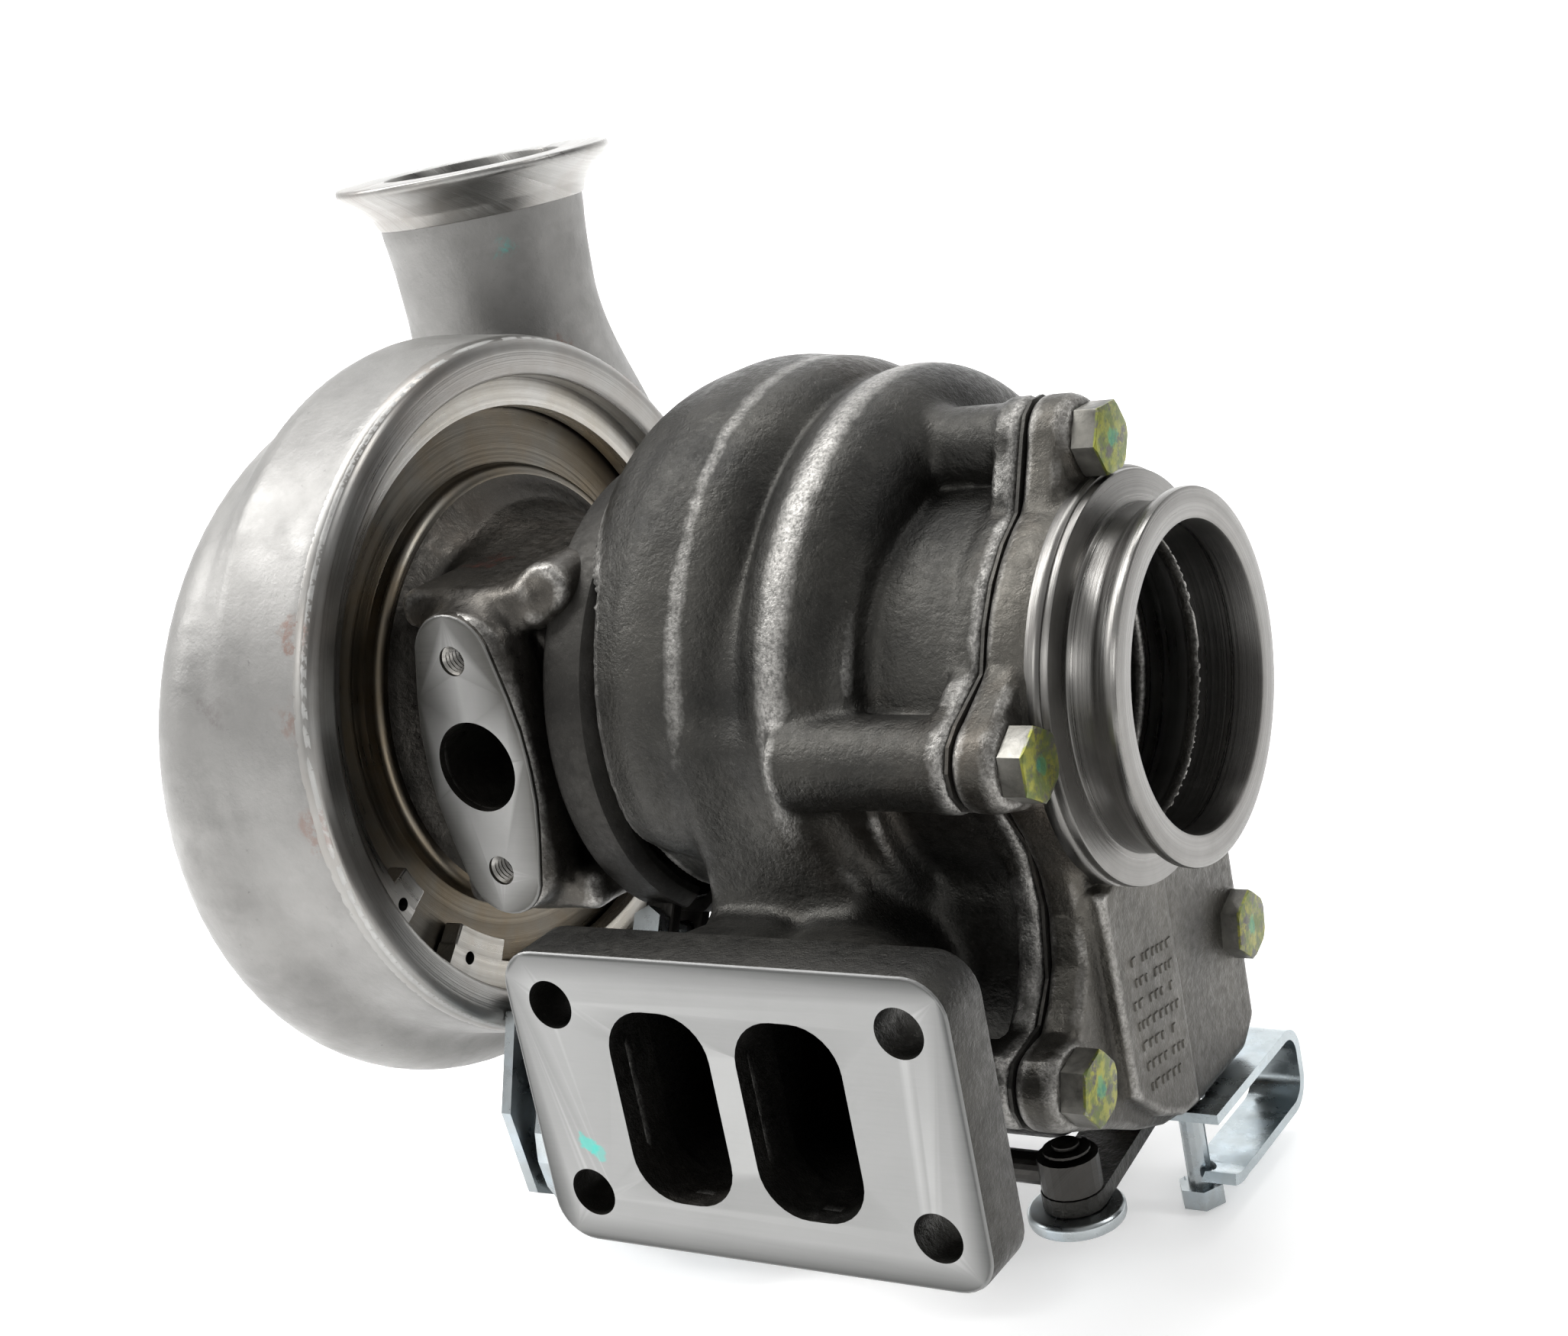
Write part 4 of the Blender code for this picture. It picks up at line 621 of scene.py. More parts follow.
def plated(name, base, rough=0.22, yellow=0.0):
    """Bright plated steel: cloudy passivate colours, drawing scratches, a few dull spots."""
    s = Shader(name, 1.0)
    cloud = s.spread(s.noise(60.0, 5.0, 0.7), 0.35, 0.68)
    colour = s.mix(cloud, [c * 0.8 for c in base], base)
    colour = s.mix(s.spread(s.noise(90.0, 3.0), 0.5, 0.66, 0.0, 0.3), colour, (0.48, 0.58, 0.66))
    if yellow:
        colour = s.mix(s.spread(s.noise(120.0, 4.0), 0.42, 0.6, 0.0, yellow), colour, (0.55, 0.5, 0.25))
    speck = s.spread(s.noise(520.0, 5.0, 0.8), 0.64, 0.72)
    colour = s.mix(s.maths("MULTIPLY", speck, 0.5), colour, (0.2, 0.19, 0.18))
    return s.finish(colour, s.spread(s.noise(140.0, 5.0), 0.3, 0.7, rough - 0.08, rough + 0.16),
                    [(s.noise(300.0, 5.0), 0.25, 0.15), (s.noise(1400.0), 0.15, 0.08)])


def marked_bolt(name, paint, centre):
    """Dark heat-oiled bolt steel with a painted highlight on its convex edges (partly edge wear) and a dab of
    inspection paint on the head's end face.
    """
    s = Shader(name, 0.75)
    cloud = s.spread(s.noise(150.0, 5.0, 0.7), 0.35, 0.68)
    colour = s.mix(cloud, (0.035, 0.034, 0.03), (0.11, 0.105, 0.09))
    # Painted highlight on the head's convex edges (partly edge wear).
    wear_and_painted_light = s.edges(0.52, 0.6)
    colour = s.mix(s.maths("MULTIPLY", wear_and_painted_light, 0.6), colour, (0.36, 0.35, 0.32))
    x = s.node("ShaderNodeSeparateXYZ", {0: s.place}).outputs["X"]
    end_face = s.spread(x, 0.04665, 0.0469)
    patch = s.maths("MULTIPLY", s.spread(s.noise(230.0, 5.0, 0.75), 0.4, 0.5), end_face)
    tone = s.mix(s.spread(s.noise(300.0, 3.0), 0.42, 0.58), paint, (0.1, 0.13, 0.03))
    colour = s.mix(s.maths("MULTIPLY", patch, 0.85), colour, tone)
    green = s.near(centre, 2.4, 0.7, 300.0)
    colour = s.mix(s.maths("MULTIPLY", s.maths("MULTIPLY", green, end_face), 0.6), colour, (0.02, 0.2, 0.12))
    return s.finish(colour, s.spread(cloud, 0, 1, 0.3, 0.5), [(s.noise(420.0, 5.0), 0.5, 0.25)])


def moulded(name, base):
    s = Shader(name, 0.0)
    cloud = s.spread(s.noise(70.0, 5.0), 0.35, 0.68)
    colour = s.mix(cloud, base, [c * 1.8 + 0.01 for c in base])
    return s.finish(colour, s.spread(s.noise(200.0), 0.3, 0.7, 0.55, 0.8), [(s.noise(500.0, 5.0), 0.4, 0.2)])


TEAL = (0.05, 0.42, 0.36)
RUST = (0.16, 0.055, 0.025)
IRON = sand_cast("cast iron", (0.02, 0.0195, 0.018), (0.05, 0.048, 0.043), 0.4, 1.2)
COVER_IRON = sand_cast("cover cast iron", (0.036, 0.034, 0.03), (0.08, 0.075, 0.065), 0.4, 1.0,
                       [((43, 151, -27), 3.0, TEAL, 0.5)])
CASE_IRON = sand_cast("bearing housing iron", (0.03, 0.028, 0.025), (0.085, 0.078, 0.068), 0.36, 0.6,
                      [((-119, 86, 112), 11.0, (0.16, 0.035, 0.025), 0.8),
                       ((-112, 90, 100), 8.0, (0.13, 0.04, 0.03), 0.6)])
ALUMINIUM = satin_cast("cast aluminium", (0.235, 0.231, 0.222), [
    ((-127, 36, 92), 5.0, RUST, 0.45), ((-128, 30, 74), 5.0, RUST, 0.35), ((-127, 28, 48), 6.0, RUST, 0.35),
    ((-130, 178, 122), 9.0, RUST, 0.7), ((-138, 176, 132), 5.0, RUST, 0.5), ((-143, 161, 160), 4.0, TEAL, 0.5),
    ((-152, 26, 78), 4.0, (0.12, 0.1, 0.1), 0.4)])
RIM_FINISH = turned_metal("turned aluminium", (0.31, 0.306, 0.294), 0.28, (0.22, 0.2, 0.18))
CASE_TURNED = turned_metal("turned iron", (0.19, 0.178, 0.155), 0.28, (0.17, 0.125, 0.07))
OUTLET_TURNED = turned_metal("turned outlet", (0.2, 0.195, 0.185), 0.27, (0.12, 0.115, 0.108))
STEEL = turned_metal("machined steel", (0.4, 0.39, 0.37), 0.26, (0.28, 0.25, 0.2))
BAND_STEEL = sand_cast("dark clamp steel", (0.016, 0.015, 0.014), (0.04, 0.038, 0.034), 0.5, 0.4)
ROD_STEEL = turned_metal("dark rod steel", (0.05, 0.048, 0.045), 0.34, (0.035, 0.03, 0.025))
GASKET = sand_cast("gasket steel", (0.03, 0.029, 0.027), (0.07, 0.067, 0.06), 0.5, 0.5)
FLANGE_FACE = ground_face("milled flange", (0.07, 0.071, 0.069), [((-41, 0, -10), 2.6, TEAL, 0.7),
                                                                  ((-38.5, 0, -12), 2.0, TEAL, 0.5)])
DRAIN_FACE = ground_face("milled pad", (0.07, 0.068, 0.062))
ZINC = plated("zinc plate", (0.4, 0.43, 0.44), 0.25)
STRAP_ZINC = plated("strap zinc", (0.42, 0.47, 0.49), 0.24)
BRONZE = turned_metal("bearing bronze", (0.5, 0.31, 0.13), 0.3, (0.3, 0.2, 0.1))
RUBBER = moulded("rubber", (0.012, 0.012, 0.012))


# ---------------------------------------------------------------- turbine end


def cover_outline():
    """Outline of the joint between turbine housing and outlet cover, as (y, z), run anticlockwise."""
    y, z = SHAFT
    points = arc((y, z + 55.3), 10.4, 15, 165, 12)
    points += arc((y, z), 47.4, 112, 158, 8)
    points += arc((y - 55.3, z), 10.4, 112, 258, 12)
    points += [(72.5, 39.0), (78.0, 31.0), (81.0, 20.0), (82.0, 10.0), (79.5, -1.0), (75.0, -8.0), (70.0, -12.5)]
    points += arc((65.0, -22.4), 10.4, 125, 250, 10)
    points += [(72.0, -37.0), (82.0, -42.0), (94.0, -48.5), (106.0, -53.5), (114.0, -55.2), (146.0, -55.3),
               (154.0, -53.0), (158.5, -46.0)]
    points += arc((152.0, -22.4), 10.4, -50, 50, 8)
    points += [(158.6, -8.0), (160.0, 4.0), (163.0, 20.0)]
    points += arc((y, z), 47.4, -32, 66, 14)
    return points


COVER_BOLTS = ((118.4, 108.0), (63.1, 52.7), (65.0, -22.4), (152.0, -22.4))
LOBE_TURNS = (0.0, 90.0, 160.0, 180.0, 195.0, 210.0, 225.0, 240.0, 258.0, 270.0, 292.0)
LOBE_OUTER = ((79.0, 78.0, 77.6, 74.2, 69.4, 63.6, 59.0, 57.0, 56.0, 55.6, 55.2),
              (79.0, 77.0, 73.8, 70.2, 67.2, 64.2, 61.4, 58.8, 57.4, 57.0, 56.8))
LOBE_TUBE = ((21.0, 19.4, 16.5, 16.0, 15.2, 14.6, 14.0, 13.4, 12.8, 12.4, 12.0),
             (21.0, 19.4, 15.5, 15.0, 14.4, 13.8, 13.2, 12.8, 12.4, 12.2, 12.0))
LOBE_X = ((-38.0, -33.0, -31.5, -35.0, -38.0, -40.0, -41.2, -42.0, -42.6, -43.0, -43.0),
          (-16.0, -11.0, -8.5, -9.5, -10.5, -11.5, -13.0, -14.5, -15.6, -16.0, -16.4))


def scroll_line(lane, steps=80):
    """Centres and outer tube radii of one lobe, from the neck under the shaft round the back to the front."""
    turn = np.linspace(0, LOBE_TURNS[-1], steps)
    smooth = np.ones(9) / 9
    outer, tube, x = (np.convolve(np.pad(np.interp(turn, LOBE_TURNS, table[lane]), 4, mode="edge"), smooth, "valid")
                      for table in (LOBE_OUTER, LOBE_TUBE, LOBE_X))
    return [on_circle(o - t, -90.0 - a, place) for o, t, a, place in zip(outer, tube, turn, x)], tube


def port_leg(lane, wall):
    """The duct from one inlet port up to its lobe: it flattens behind the flange, then widens."""
    port, lobe = (-16.8, 14.9)[lane], LOBE_X[lane][0]
    ys = np.linspace(-2.0 if wall < 0 else 4.0, 120.0, 24)
    share = np.clip((ys - 8.0) / 84.0, 0, 1)
    ease = share * share * (3 - 2 * share)
    size = 20.0 if wall > 0 else 11.6
    return leg(ys, port + (lobe - port) * ease, -9.0 * ease,
               (12.5 + max(wall, 0)) * (1 - ease) + size * ease, (22.0 + max(wall, 0)) * (1 - ease) + size * ease,
               9.0 + (size - 9.5) * ease)


def turbine_casting():
    body = Casting((-76, 3, -57), (33, 198, 133), 1.2)
    for lane in (0, 1):
        centres, tube = scroll_line(lane)
        pipe_run(body, centres, tube, 4.0)
        if lane == 0:
            for shift, less in ((-12.0, 1.8), (-22.0, 5.0)):
                flank = [c + np.array((shift, 0, 0)) for c in centres]
                pipe_run(body, flank, np.maximum(tube - less, 5.0), 8.0)
    body.add(*turned_field([(-74.5, 54.0), (-71.0, 54.0), (-68.8, 51.2), (-60.0, 51.2), (-48.0, 54.5), (-6.0, 55.0),
                            (0.4, 54.4), (1.8, 53.2), (2.6, 48.6), (5.0, 47.4), (29.6, 46.8)]), blend=2.5)
    for lane in (0, 1):
        body.add(*port_leg(lane, 5.5), blend=3.0)
    body.add(*block((-58, 84, -40), (-6, 120, 12), 12.0), blend=8.0)
    wall = [(-44.5, -20), (1, -20), (0.5, 8), (-4, 26), (-11, 42), (-15, 51), (-18, 58), (-44.5, 58)]
    body.add(*slab(wall, 1, 61.6, 100.0, 4.0), blend=7.0)
    for centre, start, size in zip(COVER_BOLTS, (-5.0, -16.0, 4.0, -8.0), (9.2, 10.4, 8.8, 8.8)):
        body.add(*cylinder(0, centre, size, start, 29.6, 2.0), blend=3.0)
    body.add(*block((-14, 86, -52), (26, 156, 18), 9.0), blend=6.0)
    body.add(*slab(cover_outline(), 0, 23.4, 29.7, 1.6), blend=2.0)
    for lane in (0, 1):
        body.cut(*port_leg(lane, -1.0))
        centres, tube = scroll_line(lane, 40)
        pipe_run(body, centres, tube * 0.6, 0.0, cut=True)
    body.cut(*turned_field([(-78.0, 58.2), (-66.3, 58.2), (-66.3, 47.2), (-60.0, 47.2), (-60.0, 42.0), (-44.0, 42.0),
                            (-44.0, 47.0), (-24.0, 47.0), (-23.4, 38.5), (-18.0, 34.2), (-11.5, 31.5), (2.0, 31.5),
                            (34.0, 33.5)]))
    body.cut(*cylinder(2, (20.0, 130.0), 6.8, -70.0, -30.0, 0.1))
    body.cut(*block((12, 91, -36), (40, 145, 10), 6.0))
    body.cut(*cylinder(0, (104.0, -8.0), 9.5, -21.0, 14.0, 0.1))
    # Lines along the crests of the two lobes, where the iron finish paints a highlight streak.
    painted_highlight_ridges = []
    for lane, width in ((0, 3.4), (1, 5.0)):
        centres, tube = scroll_line(lane)
        line = []
        for centre, size in zip(centres[36:], tube[36:]):
            outward = centre - np.array((centre[0], *SHAFT))
            line.append(centre + outward / np.linalg.norm(outward) * size)
        line = np.array(line)
        fine = np.linspace(0, len(line) - 1, 6 * len(line))
        painted_highlight_ridges.append((np.stack([np.interp(fine, range(len(line)), line[:, k]) for k in range(3)], axis=1), width))
    thing = body.mesh("turbine_housing_casting", painted_highlight_ridges)
    thing.data.materials.append(IRON)
    return thing


def inlet_flange():
    """The foot: a sand-cast plate with a milled face, four stud holes and two gas ports."""
    plate = prism("inlet_flange", rounded((0, 0), (54, 34), 9.0, 8), 0.0, 14.0, "Y")
    holes = [bar("hole", -2, 20, 5.5, "Y", (x, 0, z)) for x in (-STUD_X, STUD_X) for z in (-STUD_Z, STUD_Z)]
    holes.append(prism("port", rounded((-16.8, 0), (12.6, 22.0), 10.4, 8), -2, 20, "Y"))
    holes.append(prism("port", rounded((14.9, 0), (12.6, 22.0), 10.4, 8), -2, 20, "Y"))
    bevel(plate, 0.8, 3)
    carve(plate, holes)
    plate.data.materials.clear()
    for finish in (IRON, FLANGE_FACE):
        plate.data.materials.append(finish)
    for face in plate.data.polygons:
        face.material_index = 1 if face.normal.y < -0.6 and face.center.y < 0.0012 else 0
    return flat_faces(plate)


def outlet_cover_pieces():
    start, face = 31.1, 40.4
    body = Casting((28, 48, -58), (50, 172, 122), 1.0)
    body.add(*slab(cover_outline(), 0, start, face, 2.6), blend=0.0)
    body.add(*cylinder(0, SHAFT, 47.6, 32.0, 44.2, 2.0), blend=2.5)
    pad = [(84.5, 14), (85.5, -8), (86, -36), (98, -46.5), (108, -51.5), (116.0, -52.5), (117.0, -51.0), (117.0, 14)]
    body.add(*slab(pad, 0, face - 3, 44.2, 1.4), blend=1.6)
    ridge = [(117.0, 12), (117.0, -55), (149, -55), (157, -49), (157.5, 2), (140, 10)]
    body.add(*slab(ridge, 0, face - 3, 42.6, 3.0), blend=2.5)
    for centre in COVER_BOLTS:
        body.add(*cylinder(0, centre, 9.2, 32.0, 41.2, 0.8), blend=1.6)
    body.cut(*cylinder(0, SHAFT, 34.5, 20.0, 60.0, 0.1))
    for centre in COVER_BOLTS:
        body.cut(*cylinder(0, centre, 5.3, 20.0, 39.0, 0.1))
    casting = body.mesh("outlet_cover_casting")
    casting.data.materials.append(COVER_IRON)
    neck = lathe("outlet_lip", [
        (31.5, 33.6), (46.0, 34.9), (59.7, 34.9), (59.7, 42.3), (57.4, 42.3), (52.6, 39.3), (46.4, 39.3), (46.2, 46.9),
        (42.0, 46.9), (42.0, 36.5), (31.5, 36.5),
    ], OUTLET_TURNED, ring=True, ease=0.7)
    relief = lathe("outlet_relief", [(44.4, 43.0), (44.4, 47.4), (43.4, 47.9), (41.0, 47.9), (41.0, 43.0)],
                   OUTLET_TURNED, ring=True, ease=0.3)
    return [casting, neck, relief, cast_marks()]


def cast_marks():
    """Low plain casting marks on the pad: rows of short bars in place of any lettering."""
    draw = np.random.default_rng(7)
    points, faces = [], []
    for row in range(7):
        along = 90.5 + row * 0.55
        while along < 112.0:
            width = 1.0 + 1.6 * draw.random()
            top = -4.5 - row * 5.1 - (along - 90) * 0.18
            tall = 2.3
            if draw.random() < 0.86 and -47.0 < top - tall:
                corner = len(points)
                low, high = 44.0, 44.5
                for x in (low, high):
                    shrink = 0.0 if x == low else 0.3
                    for u, v in ((along + shrink, top - shrink), (along + width - shrink, top - shrink),
                                 (along + width - shrink, top - tall + shrink), (along + shrink, top - tall + shrink)):
                        points.append((x, u, v))
                faces += [(corner + 4, corner + 5, corner + 6, corner + 7)]
                faces += [(corner + i, corner + (i + 1) % 4, corner + 4 + (i + 1) % 4, corner + 4 + i)
                          for i in range(4)]
            along += width + 0.9
    thing = make("casting_marks", points, faces, COVER_IRON)
    work = bmesh.new()
    work.from_mesh(thing.data)
    bmesh.ops.holes_fill(work, edges=[e for e in work.edges if e.is_boundary], sides=0)
    bmesh.ops.recalc_face_normals(work, faces=work.faces)
    work.to_mesh(thing.data)
    work.free()
    thing.data.set_sharp_from_angle(angle=math.radians(30))
    return thing


def hex_bolt(name, centre, turn, finish):
    """A flanged hexagon head with a chamfered crown, and its plain shank."""
    y, z = centre
    head = prism(name, arc((0, 0), BOLT_ACROSS_FLATS / math.sqrt(3), turn, turn + 300, 5), 41.4, 47.4, "X", (0, y, z))
    crown = lathe("crown", [(30.0, 0.01), (30.0, 30.0), (45.9, 10.4), (47.6, 7.6), (47.6, 0.01)], None, "X", (0, y, z),
                  48, 0.0)
    carve(head, [crown], "INTERSECT")
    bevel(head, 0.35, 2, 25)
    collar = lathe("collar", [(40.7, 0.01), (40.7, 7.5), (41.8, 7.5), (41.8, 0.01)], None, "X", (0, y, z), 48, 0.3)
    shank = lathe("shank", [(10.0, 0.01), (10.0, 4.4), (10.6, 4.8), (41.0, 4.8), (41.0, 0.01)], None, "X", (0, y, z),
                  32, 0.0)
    return merge(head, [collar, shank], finish)


def merge(thing, others, finish=None):
    """Gathers separate shells into one object."""
    work = bmesh.new()
    for piece in [thing] + others:
        part = piece.data.copy()
        part.transform(piece.matrix_world)
        work.from_mesh(part)
    work.to_mesh(thing.data)
    work.free()
    for other in others:
        bpy.data.objects.remove(other, do_unlink=True)
    thing.data.shade_smooth()
    thing.data.set_sharp_from_angle(angle=math.radians(20))
    if finish:
        thing.data.materials.clear()
        thing.data.materials.append(finish)
    return thing


# ---------------------------------------------------------------- compressor end


def volute_line():
    """Centres and passage radii of the compressor scroll and of the tube that leaves it upwards."""
    share = np.linspace(0, 1, 70)
    radius = 6.0 + 19.0 * np.sqrt(share)
    centres = [on_circle(70.0 + 23.0 * s**1.5, 95.0 - 295.0 * s, -146.0 - r) for s, r in zip(share, radius)]
    radii = list(radius)
    start, top = centres[-1], np.array((-166.0, 182.4, 144.7))
    lead = centres[-1] - centres[-2]
    lead = lead / np.linalg.norm(lead) * 24.0
    lift = np.array((0, 0, -24.0))
    for s in np.linspace(0.08, 1, 14):
        centres.append(start * (1 - s) ** 3 + (start + lead) * 3 * s * (1 - s) ** 2 + (top + lift) * 3 * s * s * (1 - s)
                       + top * s**3)
        radii.append(25.0 - 2.6 * s)
    for place, size in ((158.0, 22.9), (170.0, 24.0), (173.0, 24.4)):
        centres.append(np.array((-166.0, 182.4, place)))
        radii.append(size)
    return centres, radii


def compressor_casting():
    body = Casting((-215, 18, -57), (-121, 240, 178), 1.35)
    centres, radii = volute_line()
    pipe_run(body, centres, [r + 4.5 for r in radii], 0.0)
    body.cut(*block((-240, 130, 174.5), (-100, 240, 260), 0.5))
    body.add(*turned_field([(-123.6, 86.0), (-124.2, 90.0), (-127.5, 91.2), (-151.0, 93.0), (-156.0, 91.5),
                            (-160.0, 88.0), (-170.0, 74.0), (-184.0, 58.0), (-194.0, 50.0), (-203.0, 48.2),
                            (-207.0, 50.4), (-213.5, 50.6)]), blend=3.5)
    pipe_run(body, centres, radii, 0.0, cut=True)
    body.cut(*cylinder(2, (-166.0, 182.4), 24.5, 160.0, 200.0, 0.1))
    edge = [(-178.3 + 27 * math.sin(math.radians(a)), 30.3 + 13 * (1 - math.cos(math.radians(a))))
            for a in range(0, 91, 15)]
    body.cut(*turned_field([(-216.0, 45.0), (-210.0, 43.0), (-190.0, 36.0)] + edge + [
        (-151.0, 66.0), (-146.0, 66.0), (-146.0, 76.2), (-142.3, 76.2), (-142.3, 80.4), (-120.0, 80.4)]))
    thing = body.mesh("compressor_housing_casting")
    thing.data.materials.append(ALUMINIUM)
    return thing


def compressor_rings():
    rim = lathe("compressor_rim", [
        (-141.9, 79.8), (-136.0, 79.8), (-135.7, 83.5), (-129.5, 83.5), (-129.5, 80.3), (-124.4, 80.3), (-123.2, 81.6),
        (-123.2, 87.4), (-124.0, 89.6), (-126.4, 91.0), (-131.0, 91.3), (-131.0, 90.0), (-137.0, 84.6), (-141.9, 84.6),
    ], RIM_FINISH, ring=True, ease=0.8)
    lip = lathe("compressor_outlet_lip", [
        (171.0, 24.6), (183.5, 24.6), (183.5, 38.1), (182.9, 38.5), (181.6, 38.5), (180.6, 37.6), (177.2, 33.4), (174.0, 30.4),
        (170.5, 29.2), (170.5, 27.0),
    ], RIM_FINISH, "Z", (-166.0, 182.4, 0), ring=True, ease=0.5)
    spigot = lathe("compressor_inlet_spigot", [
        (-206.0, 44.0), (-213.2, 45.0), (-214.0, 45.8), (-214.0, 50.2), (-213.2, 51.0), (-210.5, 51.0), (-208.6, 50.2),
        (-206.0, 49.0),
    ], RIM_FINISH, ring=True, ease=0.3)
    return [rim, lip, spigot]


def snap_ring():
    """The wide snap ring: two broad ends with a plier hole each, either side of the gap."""
    ring = lathe("retaining_ring", [(-135.4, 73.0), (-129.8, 73.0), (-129.8, 83.1), (-135.4, 83.1)], None, ring=True,
                 ease=0.5)
    wedge = [(0.0, 0.0), *(tuple(on_circle(120.0, degrees)[1:] - SHAFT) for degrees in (-31.0, -38.0, -45.0))]
    tools = [prism("gap", wedge, -138, -127, "X", (0, *SHAFT))]
    ends = []
    for low, high, hole in ((-31.0, -23.0, -27.5), (-60.0, -45.0, -50.0)):
        inner = [tuple(on_circle(67.5, a)[1:]) for a in np.linspace(low, high, 10)]
        outer = [tuple(on_circle(74.0, a)[1:]) for a in np.linspace(high, low, 10)]
        ends.append(bevel(prism("ring_end", inner + outer, -135.4, -129.8), 0.5, 2))
        place = on_circle(74.8, hole)
        through_end, through_ring = (bar("hole", -138, -127, 1.7, "X", (0, place[1], place[2]), 24) for _ in range(2))
        carve(ends[-1], [through_end])
        tools.append(through_ring)
    carve(ring, tools)
    return merge(ring, ends, STEEL)


# ---------------------------------------------------------------- bearing housing


def drain_outline(grow=0.0):
    ends = []
    for side, start in ((1, 8.0), (-1, 188.0)):
        ends += arc((-100.0, SHAFT[1] + side * 26.5), 11.5 + grow, start, start + 164.0, 14)
        ends += [(-100.0 - side * (13.9 + grow), SHAFT[1] + side * 17.5), (-100.0 - side * (15.4 + grow), SHAFT[1] + side * 9.0),
                 (-100.0 - side * (15.8 + grow), SHAFT[1] + side * 2.0), (-100.0 - side * (15.8 + grow), SHAFT[1] - side * 2.0),
                 (-100.0 - side * (15.4 + grow), SHAFT[1] - side * 9.0), (-100.0 - side * (13.9 + grow), SHAFT[1] - side * 17.5)]
    return ends


def bearing_casting():
    y, z = SHAFT
    body = Casting((-143, 56, -30), (-68, 175, 135), 1.2)
    body.add(*turned_field([(-141.6, 72.0), (-136.6, 72.0), (-136.0, 57.0), (-131.6, 56.6), (-130.6, 53.8),
                            (-126.0, 48.0), (-114.0, 42.6), (-106.0, 40.0), (-90.0, 39.6), (-86.0, 42.0),
                            (-81.4, 49.4), (-79.2, 53.6), (-75.2, 53.6), (-74.8, 45.0), (-69.2, 45.0)]), blend=2.0)
    body.add(*slab(drain_outline(-0.4), 1, 57.9, 68.0, 1.2), blend=1.5)
    body.add(*leg([62.0, 72.0, 90.0, 118.0], [-100.0, -100.0, -100.5, -101.0], [z, z, z, z], [13.0, 13.0, 16.0, 20.0],
                  [33.0, 30.0, 33.0, 36.0], [8.0, 8.0, 10.0, 12.0]), blend=8.0)
    body.add(*cylinder(1, (-79.5, 92.0), 6.2, 70.0, 96.0, 2.2), blend=4.0)
    body.add(*cylinder(1, (-84.0, 84.0), 8.0, 76.0, 100.0, 4.0), blend=6.0)
    body.add(*block((-113, 136, z - 19), (-87, 172, z + 19), 5.0), blend=6.0)
    for side in (-1, 1):
        body.add(*block((-122, 66, z + side * 36 - 5), (-80, 118, z + side * 36 + 5), 4.0), blend=7.0)
    body.cut(*cylinder(1, (-100.0, z), 11.3, 40.0, y, 0.1))
    body.cut(*cylinder(1, (-100.0, z), 4.5, y, 190.0, 0.1))
    body.cut(*turned_field([(-144.0, 26.5), (-139.9, 26.5), (-139.9, 23.0), (-129.2, 23.0), (-129.2, 11.0),
                            (-66.0, 11.0)]))
    for side in (-1, 1):
        body.cut(*cylinder(1, (-100.0, z + side * 26.5), 3.6, 40.0, 73.0, 0.1))
        body.cut(*cylinder(1, (-100.0, z + side * 13.0), 2.8, 160.0, 190.0, 0.1))
    thing = body.mesh("bearing_housing_casting")
    thing.data.materials.append(CASE_IRON)
    return thing


def bearing_faces():
    z = SHAFT[1]
    ring = lathe("bearing_housing_flange", [
        (-141.9, 60.0), (-141.9, 79.2), (-136.2, 79.2), (-136.0, 58.4), (-133.6, 58.2), (-132.2, 57.6), (-131.4, 56.6),
        (-130.9, 54.4), (-134.0, 53.0), (-139.0, 53.0),
    ], CASE_TURNED, ring=True, ease=0.6)
    pad = prism("drain_pad", drain_outline(), 57.0, 61.0, "Y")
    tools = [bar("drain", 50, 70, 11.3, "Y", (-100.0, 0, z), 64)]
    for side in (-1, 1):
        tools.append(bar("stud", 50, 70, 3.7, "Y", (-100.0, 0, z + side * 26.5), 40))
    bevel(pad, 0.7, 3)
    carve(pad, tools)
    pad.data.materials.clear()
    for finish in (CASE_IRON, DRAIN_FACE):
        pad.data.materials.append(finish)
    for face in pad.data.polygons:
        face.material_index = 1 if face.normal.y < -0.6 else 0
    flat_faces(pad)
    threads = []
    for side in (-1, 1):
        profile = []
        for i in range(12):
            profile += [(57.9 + i * 1.2, 3.7), (58.5 + i * 1.2, 3.1)]
        profile += [(72.4, 3.7), (72.4, 3.95), (57.9, 3.95)]
        threads.append(lathe("drain_stud_thread", profile, STEEL, "Y", (-100.0, 0, z + side * 26.5), 32, 0.0, True))
    back = prism("oil_feed_pad", rounded((-100.0, z), (13.0, 19.0), 7.0), 169.0, 172.4, "Y")
    tools = [bar("feed", 160, 180, 4.5, "Y", (-100.0, 0, z), 40)]
    for side in (-1, 1):
        tools.append(bar("stud", 160, 180, 2.8, "Y", (-100.0, 0, z + side * 13.0), 32))
    carve(back, tools)
    bevel(back, 0.6, 2)
    back.data.materials.append(DRAIN_FACE)
    return [ring, pad, back] + threads


# ---------------------------------------------------------------- putting it together


